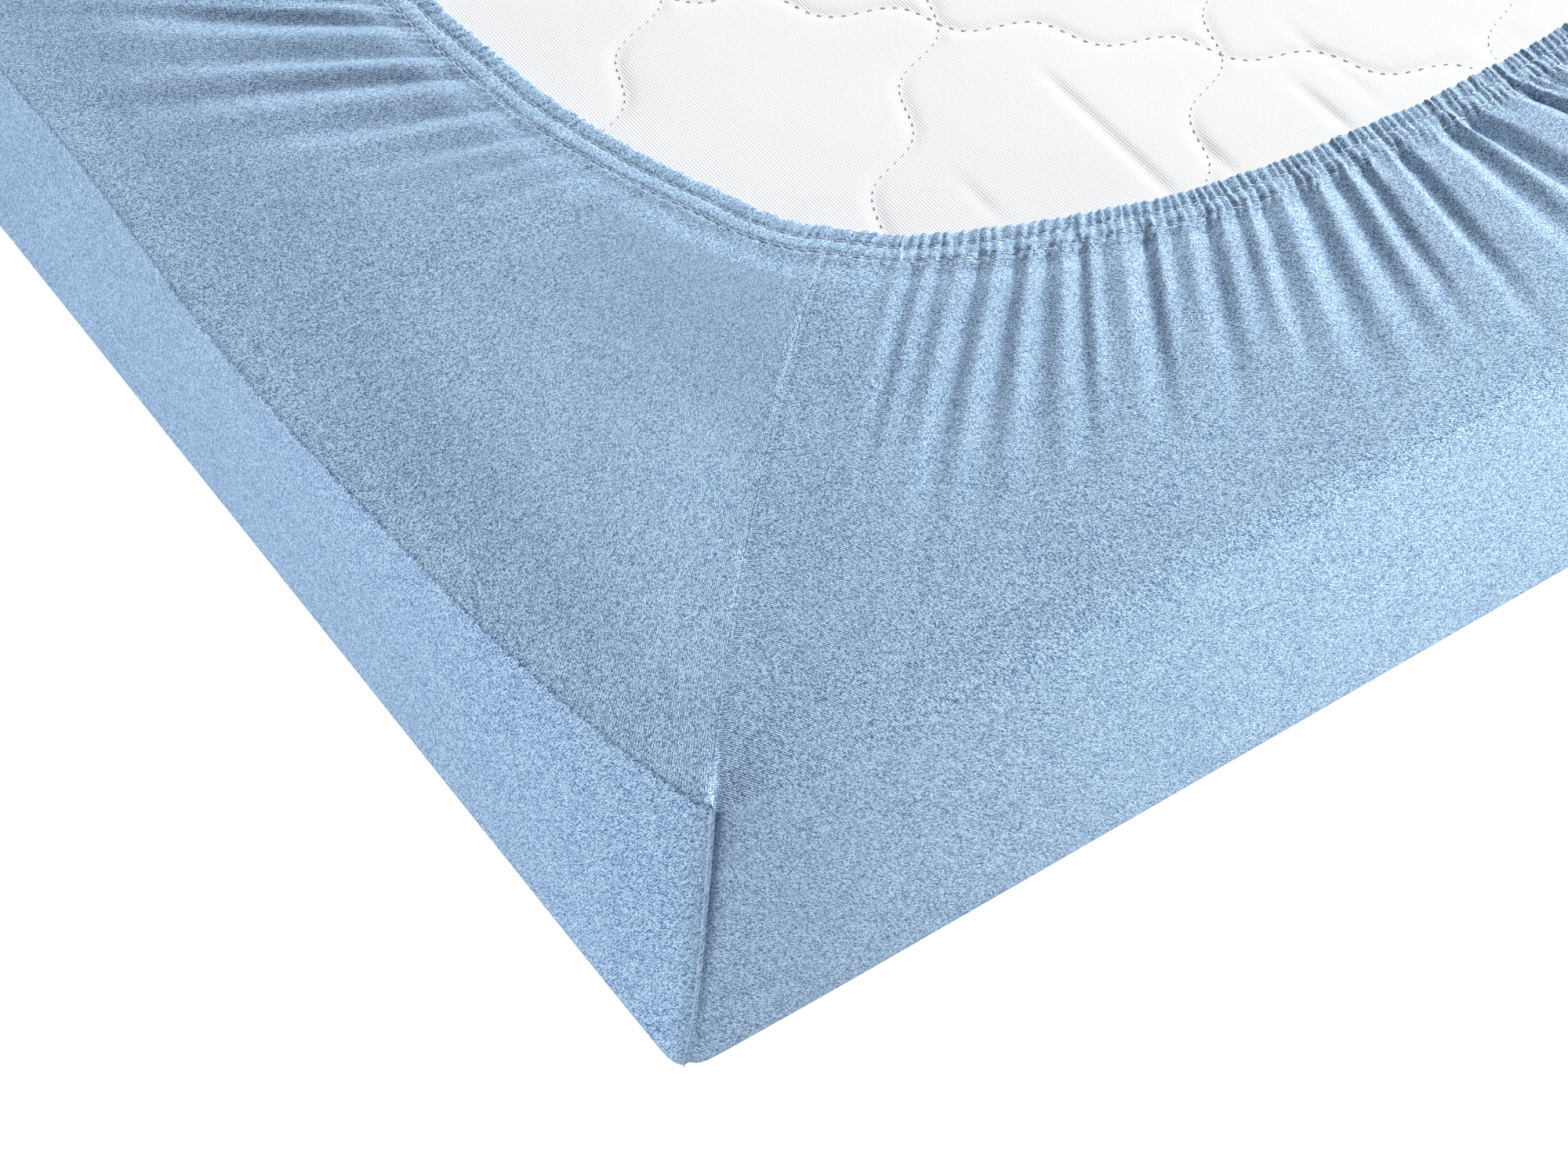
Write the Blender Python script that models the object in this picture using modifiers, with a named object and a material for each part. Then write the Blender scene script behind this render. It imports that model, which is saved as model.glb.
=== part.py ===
"""A jersey fitted sheet drawn over a single mattress that lies underside up.

The sheet's one panel lies flat on the ground, wraps the mattress's four sides and folds over
onto its upward face as a flange. The flange ends in a gathered hem round an oval opening, and
its folds run from the hem towards the edge of the mattress. Four mitred corner seams run from
the lower corners up the sides and across the flange.

Metres, +Z up. The origin is under the middle of the sheet, on the ground. X is the mattress's
width and Y its length.
"""
from math import hypot, sin

import bmesh
import bpy

MM = 0.001

# Mattress
MATTRESS_WIDTH = 0.900
MATTRESS_LENGTH = 2.000
MATTRESS_HEIGHT = 0.125

# Cloth
CLOTH = 0.0015             # one layer of jersey with its nap
HEM_CLOTH = 0.0030         # the hem is two layers round its elastic
GAP = 0.0008               # air between the cloth and the mattress on the flats

# Outer form of the sheet
STAND_OFF = CLOTH + GAP
HALF_X = MATTRESS_WIDTH / 2 + STAND_OFF
HALF_Y = MATTRESS_LENGTH / 2 + STAND_OFF
TOP = MATTRESS_HEIGHT + 2 * STAND_OFF
LOWER_EDGE_RADIUS = 0.010
UPPER_EDGE_RADIUS = 0.008
CORNER_LIFT = 0.012        # the lower edge is rounder at the corners by this much
CORNER_LIFT_REACH = 0.090
SOFT_CORNER_REACH = 0.020

# A corner seam pulls the top of its corner inwards: columns are the corner, its pull along X
# and its pull along Y.
CORNER_PULLS = {
    (-1, -1): (0.018, 0.006),
    (1, -1): (0.011, 0.008),
    (1, 1): (0.015, 0.005),
    (-1, 1): (0.010, 0.009),
}
PULL_REACH = 0.030         # how far a pull is felt along a side, plus this many times the pull
PULL_REACH_GAIN = 5.5
SLIDE_REACH = 0.090        # how far a corner's shift is felt along the other side
SIDE_BOW = 0.004           # the long sides' upper edges bow out between the corners
BOW_START = 0.110
BOW_END = 0.420

# Skins: how far each stands back from the sheet's outer form, how much rounder its edges are,
# how much more its corners stand back, and how much its long sides bow out.
SHEET_SKIN = (0.0, 0.0, 0.0, SIDE_BOW)
MATTRESS_SKIN = (STAND_OFF, 0.005, 0.005, 0.0)

# Opening in the flange, measured on the hem's inner row of stitches. Each corner of the opening
# is a quarter of a superellipse that fits in a square zone.
CORNER_ZONE = HALF_X
OPENING_FROM_LONG_SIDE = 0.143
OPENING_FROM_SHORT_SIDE = 0.129
OPENING_POWER = 2.72
HEM_WIDTH = 0.019
HEM_STEP = 0.003           # cloth beside the hem, where it thickens
LOOP_PROBE = 0.001

# Folds of the flange, from a corner seam to the middle of the side, in millimetres. Columns are
# the fold's place along the side at the hem, its place where it would meet the mattress's edge,
# the height of its crest and how far it reaches out from the hem. Rows with no height are plain
# cloth. The cloth is smooth beside the seam, most of all on the long side.
SHORT_SIDE_FOLDS = (
    (211, 14, 0, 0),
    (220, 40, 0, 0),
    (246, 78, 2.0, 100),
    (262, 112, 2.2, 105),
    (279, 162, 3.0, 100),
    (305, 207, 3.0, 90),
    (330, 239, 2.8, 80),
    (354, 277, 3.0, 85),
    (371, 304, 4.0, 95),
    (390, 340, 3.6, 90),
    (417, 384, 4.5, 95),
    (442, 424, 4.5, 100),
)
LONG_SIDE_FOLDS = (
    (211, 14, 0, 0),
    (219, 60, 0, 0),
    (229, 120, 0, 0),
    (243, 190, 0.8, 30),
    (266, 262, 1.5, 50),
    (290, 298, 1.8, 50),
    (307, 327, 2.2, 55),
    (323, 373, 2.6, 70),
    (347, 413, 3.4, 100),
    (373, 455, 4.5, 130),
    (396, 500, 4.0, 130),
    (421, 546, 4.5, 140),
)
# Past the last row the long side's folds go on to the middle at this pitch, and lean back until
# they run square to the hem.
LONG_SIDE_PITCH = 36.0
LONG_SIDE_HEIGHT = 4.0
LONG_SIDE_REACH = 125.0

# No two arms of the flange are alike: columns are the arm's share of the folds' height, and how
# far its folds stray along the hem, in millimetres. Two arms a side, round from the near corner.
ARM_CHARACTER = (
    (1.00, 0.0), (1.05, 1.6),
    (0.90, 2.4), (1.00, 2.0),
    (1.05, 1.4), (0.95, 1.8),
    (0.95, 2.6), (1.00, 0.0),
)

# Rings between the flange's edge and the hem, as shares of the way out from the hem.
FLANGE_RINGS = (0.65, 0.27)

# Rings up a wall: the edge each is on, and its share of that edge's rounding.
LEVELS = (
    ("lower", 0.0), ("lower", 0.62), ("lower", 1.0),
    ("upper", 1.0), ("upper", 0.62), ("upper", 0.0),
)

# The four sides, anticlockwise from above: the corner each starts at, the way it runs and the
# way to the middle.
SIDES = (
    ((-1, -1), (1, 0), (0, 1)),
    ((1, -1), (0, 1), (-1, 0)),
    ((1, 1), (-1, 0), (0, -1)),
    ((-1, 1), (0, -1), (1, 0)),
)

# Materials: colour, roughness
JERSEY_BLUE = ((0.33, 0.46, 0.64, 1.0), 0.85)
TICKING_WHITE = ((0.86, 0.87, 0.89, 1.0), 0.80)


def clear_scene():
    for thing in list(bpy.data.objects):
        bpy.data.objects.remove(thing, do_unlink=True)


def make_material(name, finish):
    colour, roughness = finish
    material = bpy.data.materials.new(name)
    material.use_nodes = True
    shader = material.node_tree.nodes["Principled BSDF"]
    shader.inputs["Base Color"].default_value = colour
    shader.inputs["Roughness"].default_value = roughness
    shader.inputs["Metallic"].default_value = 0.0
    return material


def side_length(side):
    _, along, _ = SIDES[side]
    return 2 * (HALF_X if along[0] else HALF_Y)


def is_long(side):
    return SIDES[side][1][0] == 0


def corner_of(side, at_end):
    (sx, sy), (ax, ay), _ = SIDES[side]
    return (sx + 2 * ax, sy + 2 * ay) if at_end else (sx, sy)


def fade(distance, reach, power):
    return max(0.0, 1.0 - distance / reach) ** power


def bow_at(distance):
    """How much of the bow a long side has at a distance from its corner."""
    share = (distance - BOW_START) / (BOW_END - BOW_START)
    if not 0.0 < share < 1.0:
        return 0.0
    return (4 * share * (1 - share)) ** 1.5


def wall_point(side, run, rise, inset, bow):
    """Plan position on a side wall: run along it, rise from 0 at the foot to 1 at the top."""
    (sx, sy), (ax, ay), (nx, ny) = SIDES[side]
    length = side_length(side)
    along = inset + run * (1 - 2 * inset / length)
    inward = inset
    for at_end in (False, True):
        distance = length - run if at_end else run
        pull_x, pull_y = CORNER_PULLS[corner_of(side, at_end)]
        across, slide = (pull_x, pull_y) if is_long(side) else (pull_y, pull_x)
        inward += across * rise * fade(distance, PULL_REACH + PULL_REACH_GAIN * across, 1.6)
        shift = slide * rise * fade(distance, SLIDE_REACH, 2.0)
        along += -shift if at_end else shift
        if is_long(side):
            inward -= bow * rise * bow_at(distance)
    return (sx * HALF_X + ax * along + nx * inward, sy * HALF_Y + ay * along + ny * inward)


def wall_ring(columns, level, skin):
    """One ring round the walls, on the rounding of the lower or the upper edge.

    A level is (which edge, share of its rounding): share 0 is on the flat, 1 is on the wall.
    """
    edge, share = level
    stand_back, softer, soft_corner, bow = skin
    ring = []
    for side, run in columns:
        distance = min(run, side_length(side) - run)
        if edge == "lower":
            radius = LOWER_EDGE_RADIUS + CORNER_LIFT * fade(distance, CORNER_LIFT_REACH, 2.0)
        else:
            radius = UPPER_EDGE_RADIUS
        radius += softer
        turn = stand_back + radius * (1.0 - (1.0 - share * share) ** 0.5)
        height = turn if edge == "lower" else TOP - turn
        inset = stand_back + radius * (1.0 - share)
        inset += soft_corner * fade(distance, SOFT_CORNER_REACH, 1.0)
        x, y = wall_point(side, run, height / TOP, inset, bow)
        ring.append((x, y, height))
    return ring


def opening_across(along, from_own_side, from_other_side):
    """How far in from its side the opening's line is, at a distance along that side."""
    if along >= CORNER_ZONE:
        return from_own_side
    share = min(1.0, (CORNER_ZONE - along) / (CORNER_ZONE - from_other_side))
    depth = (1.0 - share ** OPENING_POWER) ** (1.0 / OPENING_POWER)
    return CORNER_ZONE - (CORNER_ZONE - from_own_side) * depth


def opening_point(side, from_end, along):
    """Plan position on the hem's inner stitch row, and the way from there to the middle."""
    own = OPENING_FROM_LONG_SIDE if is_long(side) else OPENING_FROM_SHORT_SIDE
    other = OPENING_FROM_SHORT_SIDE if is_long(side) else OPENING_FROM_LONG_SIDE
    across = opening_across(along, own, other)
    slope = (opening_across(along + LOOP_PROBE, own, other) - across) / LOOP_PROBE
    (sx, sy), (ax, ay), (nx, ny) = SIDES[side]
    run = side_length(side) - along if from_end else along
    tilt = slope if from_end else -slope
    size = hypot(1.0, tilt)
    point = (sx * HALF_X + ax * run + nx * across, sy * HALF_Y + ay * run + ny * across)
    inwards = ((nx + ax * tilt) / size, (ny + ay * tilt) / size)
    return point, inwards


def arm_folds(side, arm):
    """The folds of half a side, from its corner to its middle."""
    height_share, stray = ARM_CHARACTER[2 * side + arm]
    rows = list(LONG_SIDE_FOLDS if is_long(side) else SHORT_SIDE_FOLDS)
    middle = side_length(side) / 2 / MM
    if is_long(side):
        last_hem, last_edge, _, _ = rows[-1]
        count = int((middle - last_hem) / LONG_SIDE_PITCH)
        pitch = (middle - last_hem) / count
        for index in range(1, count):
            share = index / count
            hem = last_hem + index * pitch
            lean = (last_edge - last_hem) * (1 - share) ** 1.2
            rows.append((hem, hem + lean, LONG_SIDE_HEIGHT * (1 + 0.2 * sin(2.1 * index)),
                         LONG_SIDE_REACH * (1 + 0.15 * sin(1.3 * index))))
    folds = []
    for index, (hem, edge, height, reach) in enumerate(rows):
        drift = stray * sin(1.7 * index + side + arm) if height else 0.0
        folds.append(((hem + drift) * MM, (edge + drift) * MM, height * height_share * MM,
                      reach * MM))
    return folds


def side_columns(side):
    """Lines of cloth from the wall to the hem, each (arm, hem, edge, height, reach)."""
    length = side_length(side)
    seam = (OPENING_SEAM, 0.0, 0.0, 1.0)
    first = [seam] + arm_folds(side, 0)
    second = [seam] + arm_folds(side, 1)
    crests = [(0, hem, edge, height, reach) for hem, edge, height, reach in first]
    crests += [(1, hem, edge, height, reach) for hem, edge, height, reach in reversed(second)]
    columns = []
    for here, after in zip(crests, crests[1:]):
        columns.append(here)
        columns.append(valley_between(here, after, length))
    return columns


def valley_between(here, after, length):
    arm = here[0]
    if arm == after[0]:
        return (arm, (here[1] + after[1]) / 2, (here[2] + after[2]) / 2, 0.0, 1.0)
    return (0, length / 2, length / 2, 0.0, 1.0)


def seam_place():
    """Where the corner's bisector crosses the hem's inner stitch row."""
    low, high = OPENING_FROM_LONG_SIDE, CORNER_ZONE
    for _ in range(40):
        middle = (low + high) / 2
        across = opening_across(middle, OPENING_FROM_SHORT_SIDE, OPENING_FROM_LONG_SIDE)
        if across > middle:
            low = middle
        else:
            high = middle
    return low


OPENING_SEAM = seam_place()


def crest_height(height, reach, distance):
    """A fold stands full beside the hem and fades out towards the mattress's edge."""
    share = min(1.0, distance / max(reach, MM))
    return height * (1 - share * share * (3 - 2 * share))


def flange_rings():
    """Rings of the flange from the outermost to the hem's edge."""
    rings = [[] for _ in range(len(FLANGE_RINGS) + 3)]
    for side in range(len(SIDES)):
        length = side_length(side)
        for arm, hem, edge, height, reach in side_columns(side):
            run = length - edge if arm else edge
            outer = wall_point(side, run, 1.0, UPPER_EDGE_RADIUS, SIDE_BOW)
            (hx, hy), (ix, iy) = opening_point(side, bool(arm), hem)
            span = hypot(outer[0] - hx, outer[1] - hy)
            for ring, share in zip(rings, FLANGE_RINGS + (HEM_STEP / span,)):
                x = hx + (outer[0] - hx) * share
                y = hy + (outer[1] - hy) * share
                ring.append((x, y, TOP + crest_height(height, reach, share * span)))
            lifted = TOP + HEM_CLOTH - CLOTH
            rings[-2].append((hx, hy, lifted + 0.8 * height))
            rings[-1].append((hx + ix * HEM_WIDTH, hy + iy * HEM_WIDTH, lifted + 0.3 * height))
    return rings


def wall_columns():
    """The walls have one column for each fold's crest, and one at each corner."""
    columns = []
    for side in range(len(SIDES)):
        length = side_length(side)
        for arm, _, edge, _, _ in side_columns(side)[::2]:
            columns.append((side, length - edge if arm else edge))
    return columns


def add_ring(shape, points):
    return [shape.verts.new(point) for point in points]


def join_like_rings(shape, lower, upper):
    count = len(lower)
    for index in range(count):
        after = (index + 1) % count
        shape.faces.new((lower[index], lower[after], upper[after], upper[index]))


def join_to_double_ring(shape, lower, upper):
    """The upper ring has twice the points of the lower one."""
    count = len(lower)
    for index in range(count):
        after = (index + 1) % count
        near, between, far = upper[2 * index], upper[2 * index + 1], upper[2 * after]
        shape.faces.new((lower[index], between, near))
        shape.faces.new((lower[index], lower[after], between))
        shape.faces.new((lower[after], far, between))


def wall_rings(shape, skin):
    """From the flat underside, round the lower edge, up the wall and round the upper edge."""
    columns = wall_columns()
    return [add_ring(shape, wall_ring(columns, level, skin)) for level in LEVELS]


def to_object(shape, name, material, collection):
    mesh = bpy.data.meshes.new(name)
    shape.to_mesh(mesh)
    shape.free()
    mesh.materials.append(material)
    mesh.shade_smooth()
    mesh.set_sharp_from_angle(angle=0.7)
    piece = bpy.data.objects.new(name, mesh)
    collection.objects.link(piece)
    return piece


def make_mattress(collection):
    shape = bmesh.new()
    rings = wall_rings(shape, MATTRESS_SKIN)
    for lower, upper in zip(rings, rings[1:]):
        join_like_rings(shape, lower, upper)
    shape.faces.new(list(reversed(rings[0])))
    shape.faces.new(rings[-1])
    material = make_material("ticking_white", TICKING_WHITE)
    return to_object(shape, "mattress", material, collection)


def make_fitted_sheet(collection):
    shape = bmesh.new()
    walls = wall_rings(shape, SHEET_SKIN)
    for lower, upper in zip(walls, walls[1:]):
        join_like_rings(shape, lower, upper)
    shape.faces.new(list(reversed(walls[0])))
    flange = [add_ring(shape, points) for points in flange_rings()]
    join_to_double_ring(shape, walls[-1], flange[0])
    for lower, upper in zip(flange, flange[1:]):
        join_like_rings(shape, lower, upper)
    shape.verts.index_update()
    hem_places = [vert.index for ring in flange[-2:] for vert in ring]
    material = make_material("jersey_blue", JERSEY_BLUE)
    sheet = to_object(shape, "fitted_sheet", material, collection)
    hem = sheet.vertex_groups.new(name="hem")
    hem.add(hem_places, 1.0, "REPLACE")
    wall = sheet.modifiers.new("cloth", "SOLIDIFY")
    wall.thickness = HEM_CLOTH
    wall.offset = -1.0
    wall.vertex_group = hem.name
    wall.thickness_vertex_group = CLOTH / HEM_CLOTH
    return sheet


def main():
    clear_scene()
    collection = bpy.data.collections.new("fitted_sheet_on_mattress")
    bpy.context.scene.collection.children.link(collection)
    make_mattress(collection)
    make_fitted_sheet(collection)


main()
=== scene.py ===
# %% [markdown]
# A jersey fitted sheet on a single mattress that lies underside up. The sheet's panel is on the
# floor, wraps the four sides and folds over onto the upward face, where its gathered hem lies in
# an oval round the bare quilted ticking. The CAD model gives the true sizes, so it is loaded
# first as a frame, and every size below is read from it or is a real size in millimetres.

# %% Load the frame
from math import cos, pi, radians, sin

import bpy
import numpy as np
from mathutils import Matrix, Vector


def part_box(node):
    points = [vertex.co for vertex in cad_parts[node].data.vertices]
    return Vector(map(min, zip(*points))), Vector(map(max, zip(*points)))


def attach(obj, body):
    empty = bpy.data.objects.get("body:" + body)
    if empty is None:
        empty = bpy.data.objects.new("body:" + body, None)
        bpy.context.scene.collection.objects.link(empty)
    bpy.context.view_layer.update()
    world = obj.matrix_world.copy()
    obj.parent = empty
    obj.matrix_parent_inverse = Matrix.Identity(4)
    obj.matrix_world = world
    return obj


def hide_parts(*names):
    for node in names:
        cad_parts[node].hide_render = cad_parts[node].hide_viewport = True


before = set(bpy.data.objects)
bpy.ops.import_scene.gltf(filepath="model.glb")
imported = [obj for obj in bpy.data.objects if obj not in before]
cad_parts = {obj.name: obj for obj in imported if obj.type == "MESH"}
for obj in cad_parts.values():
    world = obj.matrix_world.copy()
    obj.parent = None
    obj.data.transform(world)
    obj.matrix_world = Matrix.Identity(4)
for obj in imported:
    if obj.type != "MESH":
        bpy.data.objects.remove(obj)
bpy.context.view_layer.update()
sheet_low, sheet_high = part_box("fitted_sheet")
_, mattress_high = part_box("mattress")

# %% [markdown]
# The camera looks down at the near corner, over the long side on its left and the short side on
# its right. A camera could be aimed with a Track To constraint. Here its three axes are written
# out from the two angles that the view needs, which is exact and leaves nothing to update.

# %% Camera
LENS = 64.8                # in millimetres
VIEW_TURN = radians(34.88)
VIEW_DROP = radians(46.06)
CAMERA_FROM_CORNER = Vector((-0.2785, -0.4601, 0.8006))
LONGER_BY = 0.55           # half the mattress's length is this much more than half its width

near_corner = Vector((-(sheet_high.y - LONGER_BY), sheet_low.y, 0.0))
view_right = Vector((cos(VIEW_TURN), -sin(VIEW_TURN), 0.0))
view_back = Vector((-sin(VIEW_TURN) * cos(VIEW_DROP), -cos(VIEW_TURN) * cos(VIEW_DROP), sin(VIEW_DROP)))
view_up = view_back.cross(view_right)
bpy.ops.object.camera_add()
camera = bpy.context.object
camera.data.lens = LENS
camera.data.clip_start = 0.02
turn = Matrix((view_right, view_up, view_back)).transposed().to_4x4()
camera.matrix_world = Matrix.Translation(near_corner + CAMERA_FROM_CORNER) @ turn
bpy.context.scene.camera = camera
print("camera at", [round(x, 3) for x in camera.location])

# %% [markdown]
# A product shot on pure white has a floor with no edge and no shadow, because the picture was cut
# out. The same look comes from a large plane that glows white for the camera and is switched off
# for diffuse rays, so that it neither shades nor tints the cloth. The world gives the even light
# of a white room. The main lamp stands 4 m off on the right, 25 degrees up, and grazes the top,
# which gives every fold a bright flank and a dark one. Two small lamps fill the walls and no more.
# The left one stays below the top, so that it doesn't reach the dark flanks. The right one stands
# close to the middle of its wall, so the wall is darkest at the corner.

# %% Floor and light
WHITE = (1.0, 1.0, 1.0, 1.0)
FLOOR_SIZE = 30.0
FLOOR_DROP = 0.0005        # the floor lies this far below the sheet
FLOOR_GLOW = 1.0
FLOOR_GREY = (0.5, 0.5, 0.5, 1.0)
ROOM_LIGHT = 0.265
# Lamps: name, place, what it points at, size in metres, watts and colour.
LAMPS = (
    ("main_light", (3.448, 0.370, 1.790), (0.0, -0.75, 0.1), (1.6, 1.6), 368, (1.0, 1.0, 1.0)),
    ("low_right", (-0.05, -1.56, 0.13), (-0.05, -1.0, 0.07), (0.25, 0.15), 4.3, (1.0, 0.97, 0.94)),
    ("low_left", (-1.60, -0.75, 0.07), (-0.45, -0.75, 0.07), (1.2, 0.11), 14.6, (0.94, 0.96, 1.0)),
)


def area_light(name, place, aim, size, power, colour):
    bpy.ops.object.light_add(type="AREA", location=place)
    lamp = bpy.context.object
    lamp.name = name
    lamp.data.shape = "RECTANGLE"
    lamp.data.size, lamp.data.size_y = size
    lamp.data.energy = power
    lamp.data.color = colour
    lamp.visible_camera = False
    lamp.rotation_euler = (Vector(aim) - Vector(place)).to_track_quat("-Z", "Y").to_euler()


bpy.ops.mesh.primitive_plane_add(size=FLOOR_SIZE, location=(0, 0, -FLOOR_DROP))
floor = bpy.context.object
floor.name = "floor"
floor_paint = bpy.data.materials.new("white_floor")
floor_paint.use_nodes = True
floor_shader = floor_paint.node_tree.nodes["Principled BSDF"]
floor_shader.inputs["Base Color"].default_value = FLOOR_GREY
floor_shader.inputs["Roughness"].default_value = 0.9
floor_shader.inputs["Specular IOR Level"].default_value = 0.0
floor_shader.inputs["Emission Color"].default_value = WHITE
floor_shader.inputs["Emission Strength"].default_value = FLOOR_GLOW
floor.data.materials.append(floor_paint)
floor.visible_diffuse = False
floor.visible_glossy = False
floor.visible_shadow = False

world = bpy.data.worlds.new("white_room")
world.use_nodes = True
background = world.node_tree.nodes["Background"]
background.inputs["Color"].default_value = WHITE
background.inputs["Strength"].default_value = ROOM_LIGHT
bpy.context.scene.world = world
bpy.context.scene.view_settings.view_transform = "Standard"
bpy.context.scene.view_settings.look = "None"
for lamp in LAMPS:
    area_light(*lamp)
print("lamps", [lamp[0] for lamp in LAMPS])

# %% [markdown]
# The sizes of the mattress and the cloth, in metres, as the solids have them. Everything that
# follows is placed by its distance from a corner, along a side and in from it.

# %% Sizes
MM = 0.001
MATTRESS_WIDTH = 0.900
MATTRESS_LENGTH = 2.000
STAND_OFF = sheet_high.y - MATTRESS_LENGTH / 2
HALF_X = MATTRESS_WIDTH / 2 + STAND_OFF
HALF_Y = MATTRESS_LENGTH / 2 + STAND_OFF
TOP = mattress_high.z + STAND_OFF
FOOT_RADIUS = 0.010        # the lower edge's radius, and how much rounder it is at a corner
CORNER_LIFT = 0.002
CORNER_LIFT_REACH = 0.090
# A corner's seam pulls the top of its corner inwards, along X and along Y.
CORNER_PULLS = {
    (-1, -1): (0.018, 0.006),
    (1, -1): (0.011, 0.008),
    (1, 1): (0.015, 0.005),
    (-1, 1): (0.010, 0.009),
}
PULL_REACH = 0.030         # how far a pull is felt along a side, plus this many times the pull
PULL_REACH_GAIN = 5.5
PULL_FADE = 1.6
PULL_RISE_POWER = 0.65
SLIDE_REACH = 0.090        # how far a corner's shift is felt along the other side
SIDE_BOW = 0.006           # the long sides' upper edges bow out between the corners
BOW_START = 0.110
BOW_END = 0.420
# Sides: the corner each starts at, the way along it and the way in. They run anticlockwise.
SIDES = (
    ((-1, -1), (1, 0), (0, 1)),
    ((1, -1), (0, 1), (-1, 0)),
    ((1, 1), (-1, 0), (0, -1)),
    ((-1, 1), (0, -1), (1, 0)),
)
LONG = (False, True, False, True)
LENGTH = tuple(2 * (HALF_Y if long else HALF_X) for long in LONG)
print("sheet stands", round(TOP, 4), "high, half sizes", round(HALF_X, 4), round(HALF_Y, 4))

# %% [markdown]
# The hem's line is an oval: nearly straight along the sides, and cut across each corner by the
# pull of the elastic. Two short tables give it from a corner's seam on, and a smooth curve runs
# through their rows. Gathers and stitches keep an even spacing along the hem, so its true length
# is added up once from small steps and looked up after that.

# %% The hem's line
HEM_STEPS = 6000
SEAM = 0.2015              # where a corner's seam meets the hem, from both sides
# The hem's inner stitch row: distance along the side from its corner, and in from it, in mm.
LONG_SIDE_ROW = (
    (201.5, 201.5), (208, 195), (217, 188.5), (229, 182.5), (246, 176.5), (263, 170.5), (281, 165),
    (298, 160.5), (320, 155.5), (340, 152.5), (362, 150.5), (390, 149), (430, 147.8), (480, 147),
    (740, 146.5), (1002.3, 146.5),
)
SHORT_SIDE_ROW = (
    (201.5, 201.5), (210, 192.5), (221, 182.5), (234, 174.2), (248, 167.2), (262, 161.2), (276, 155.8),
    (292, 150), (315, 142.5), (338, 136.8), (354, 134), (370, 132), (390, 130.5), (413, 129),
    (432, 128), (452.3, 127.5),
)


def smooth(x):
    """Ease from 0 to 1 while x goes from 0 to 1."""
    x = np.clip(x, 0.0, 1.0)
    return x * x * (3 - 2 * x)


def curve(table, x):
    """A smooth curve through a table's rows."""
    xs, ys = np.array(table, float).T
    slopes = np.gradient(ys, xs)
    k = np.clip(np.searchsorted(xs, x) - 1, 0, len(xs) - 2)
    gap = xs[k + 1] - xs[k]
    t = (x - xs[k]) / gap
    first = (1 + 2 * t) * ys[k] + t * gap * slopes[k]
    second = (3 - 2 * t) * ys[k + 1] + (t - 1) * gap * slopes[k + 1]
    return first * (1 - t) ** 2 + second * t ** 2


HEM_LINES = {}
for long in (False, True):
    along = np.linspace(SEAM, HALF_Y if long else HALF_X, HEM_STEPS)
    across = curve(LONG_SIDE_ROW if long else SHORT_SIDE_ROW, along / MM) * MM
    run = np.concatenate([[0.0], np.cumsum(np.hypot(np.diff(along), np.diff(across)))])
    HEM_LINES[long] = (along, across, np.gradient(across, along), run)
    print("long" if long else "short", "side: hem from seam to middle", round(run[-1], 4), "m")

# %% [markdown]
# The elastic pulls the flange into folds. Each is a rounded arch of cloth between two sharp
# valleys, so the valleys are what the tables name: a place along the side at the hem, a depth, and
# how far the valley reaches towards the edge, all in millimetres. Where a valley ends early, its
# two arches merge into one. The folds on the short side are close and regular. On the long side
# they are broader and lean away from the corner, and the cloth beside the seam is smooth. Past
# the long side's table the folds go on by rule, each large one with a small one before it.

# %% Fold tables
SHORT_SIDE_VALLEYS = (
    (217.5, 0.40, 45), (225.8, 0.75, 105), (234.5, 0.70, 95), (247.5, 1.25, 128), (260.3, 1.30, 128),
    (271.4, 1.15, 122), (283.5, 1.10, 112), (291.3, 0.70, 88), (307.3, 1.40, 98), (317.5, 0.80, 60),
    (332, 1.20, 92), (345, 0.90, 72), (355.8, 1.10, 92), (373.6, 1.55, 102), (389.2, 1.50, 98),
    (402, 1.30, 92), (411, 0.40, 16), (420, 1.45, 98), (432, 0.35, 14), (445.5, 1.65, 100),
)
LONG_SIDE_VALLEYS = (
    (247, 0.25, 20), (270, 0.75, 50), (281, 0.20, 20), (294, 0.80, 50), (309, 1.00, 60),
    (324, 1.20, 75), (346, 1.60, 110), (372.3, 2.00, 145), (390, 1.70, 145), (415.5, 1.75, 150),
)
SHORT_SIDE_CREST = 0.48    # where in its arch a fold is highest, away from the corner
LONG_SIDE_CREST = 0.54
LONG_SIDE_PITCH = 36.0     # millimetres from one large fold to the next past the table
LARGE_FOLD = (2.4, 125)    # their depth and reach, and those of the small folds between them
SMALL_FOLD = (0.7, 45)
FIRST_FOLD_GAP = 4.0       # the first arch starts this far from the seam
# Where a line of cloth at the hem meets the edge of the mattress: columns are hem, edge.
SHORT_SIDE_LINES = (
    (205, 6), (211, 22), (219, 40), (246, 78), (262, 112), (279, 162), (305, 207), (330, 239),
    (354, 277), (371, 304), (390, 340), (417, 384), (442, 424), (452.3, 452.3),
)
LONG_SIDE_LINES = (
    (205, 6), (211, 24), (218, 60), (229, 120), (243, 190), (266, 262), (290, 298), (307, 327),
    (323, 373), (347, 413), (373, 455), (396, 500), (421, 546),
)
# No two arms are alike: each half side has its share of the folds' height and a stray in
# millimetres. The first and the last meet at the near corner.
ARM_CHARACTER = (
    (1.00, 0.0), (1.05, 2.6), (0.90, 3.4), (1.00, 3.0), (1.05, 2.4), (0.95, 2.8), (0.95, 3.6), (1.00, 0.0),
)


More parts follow.
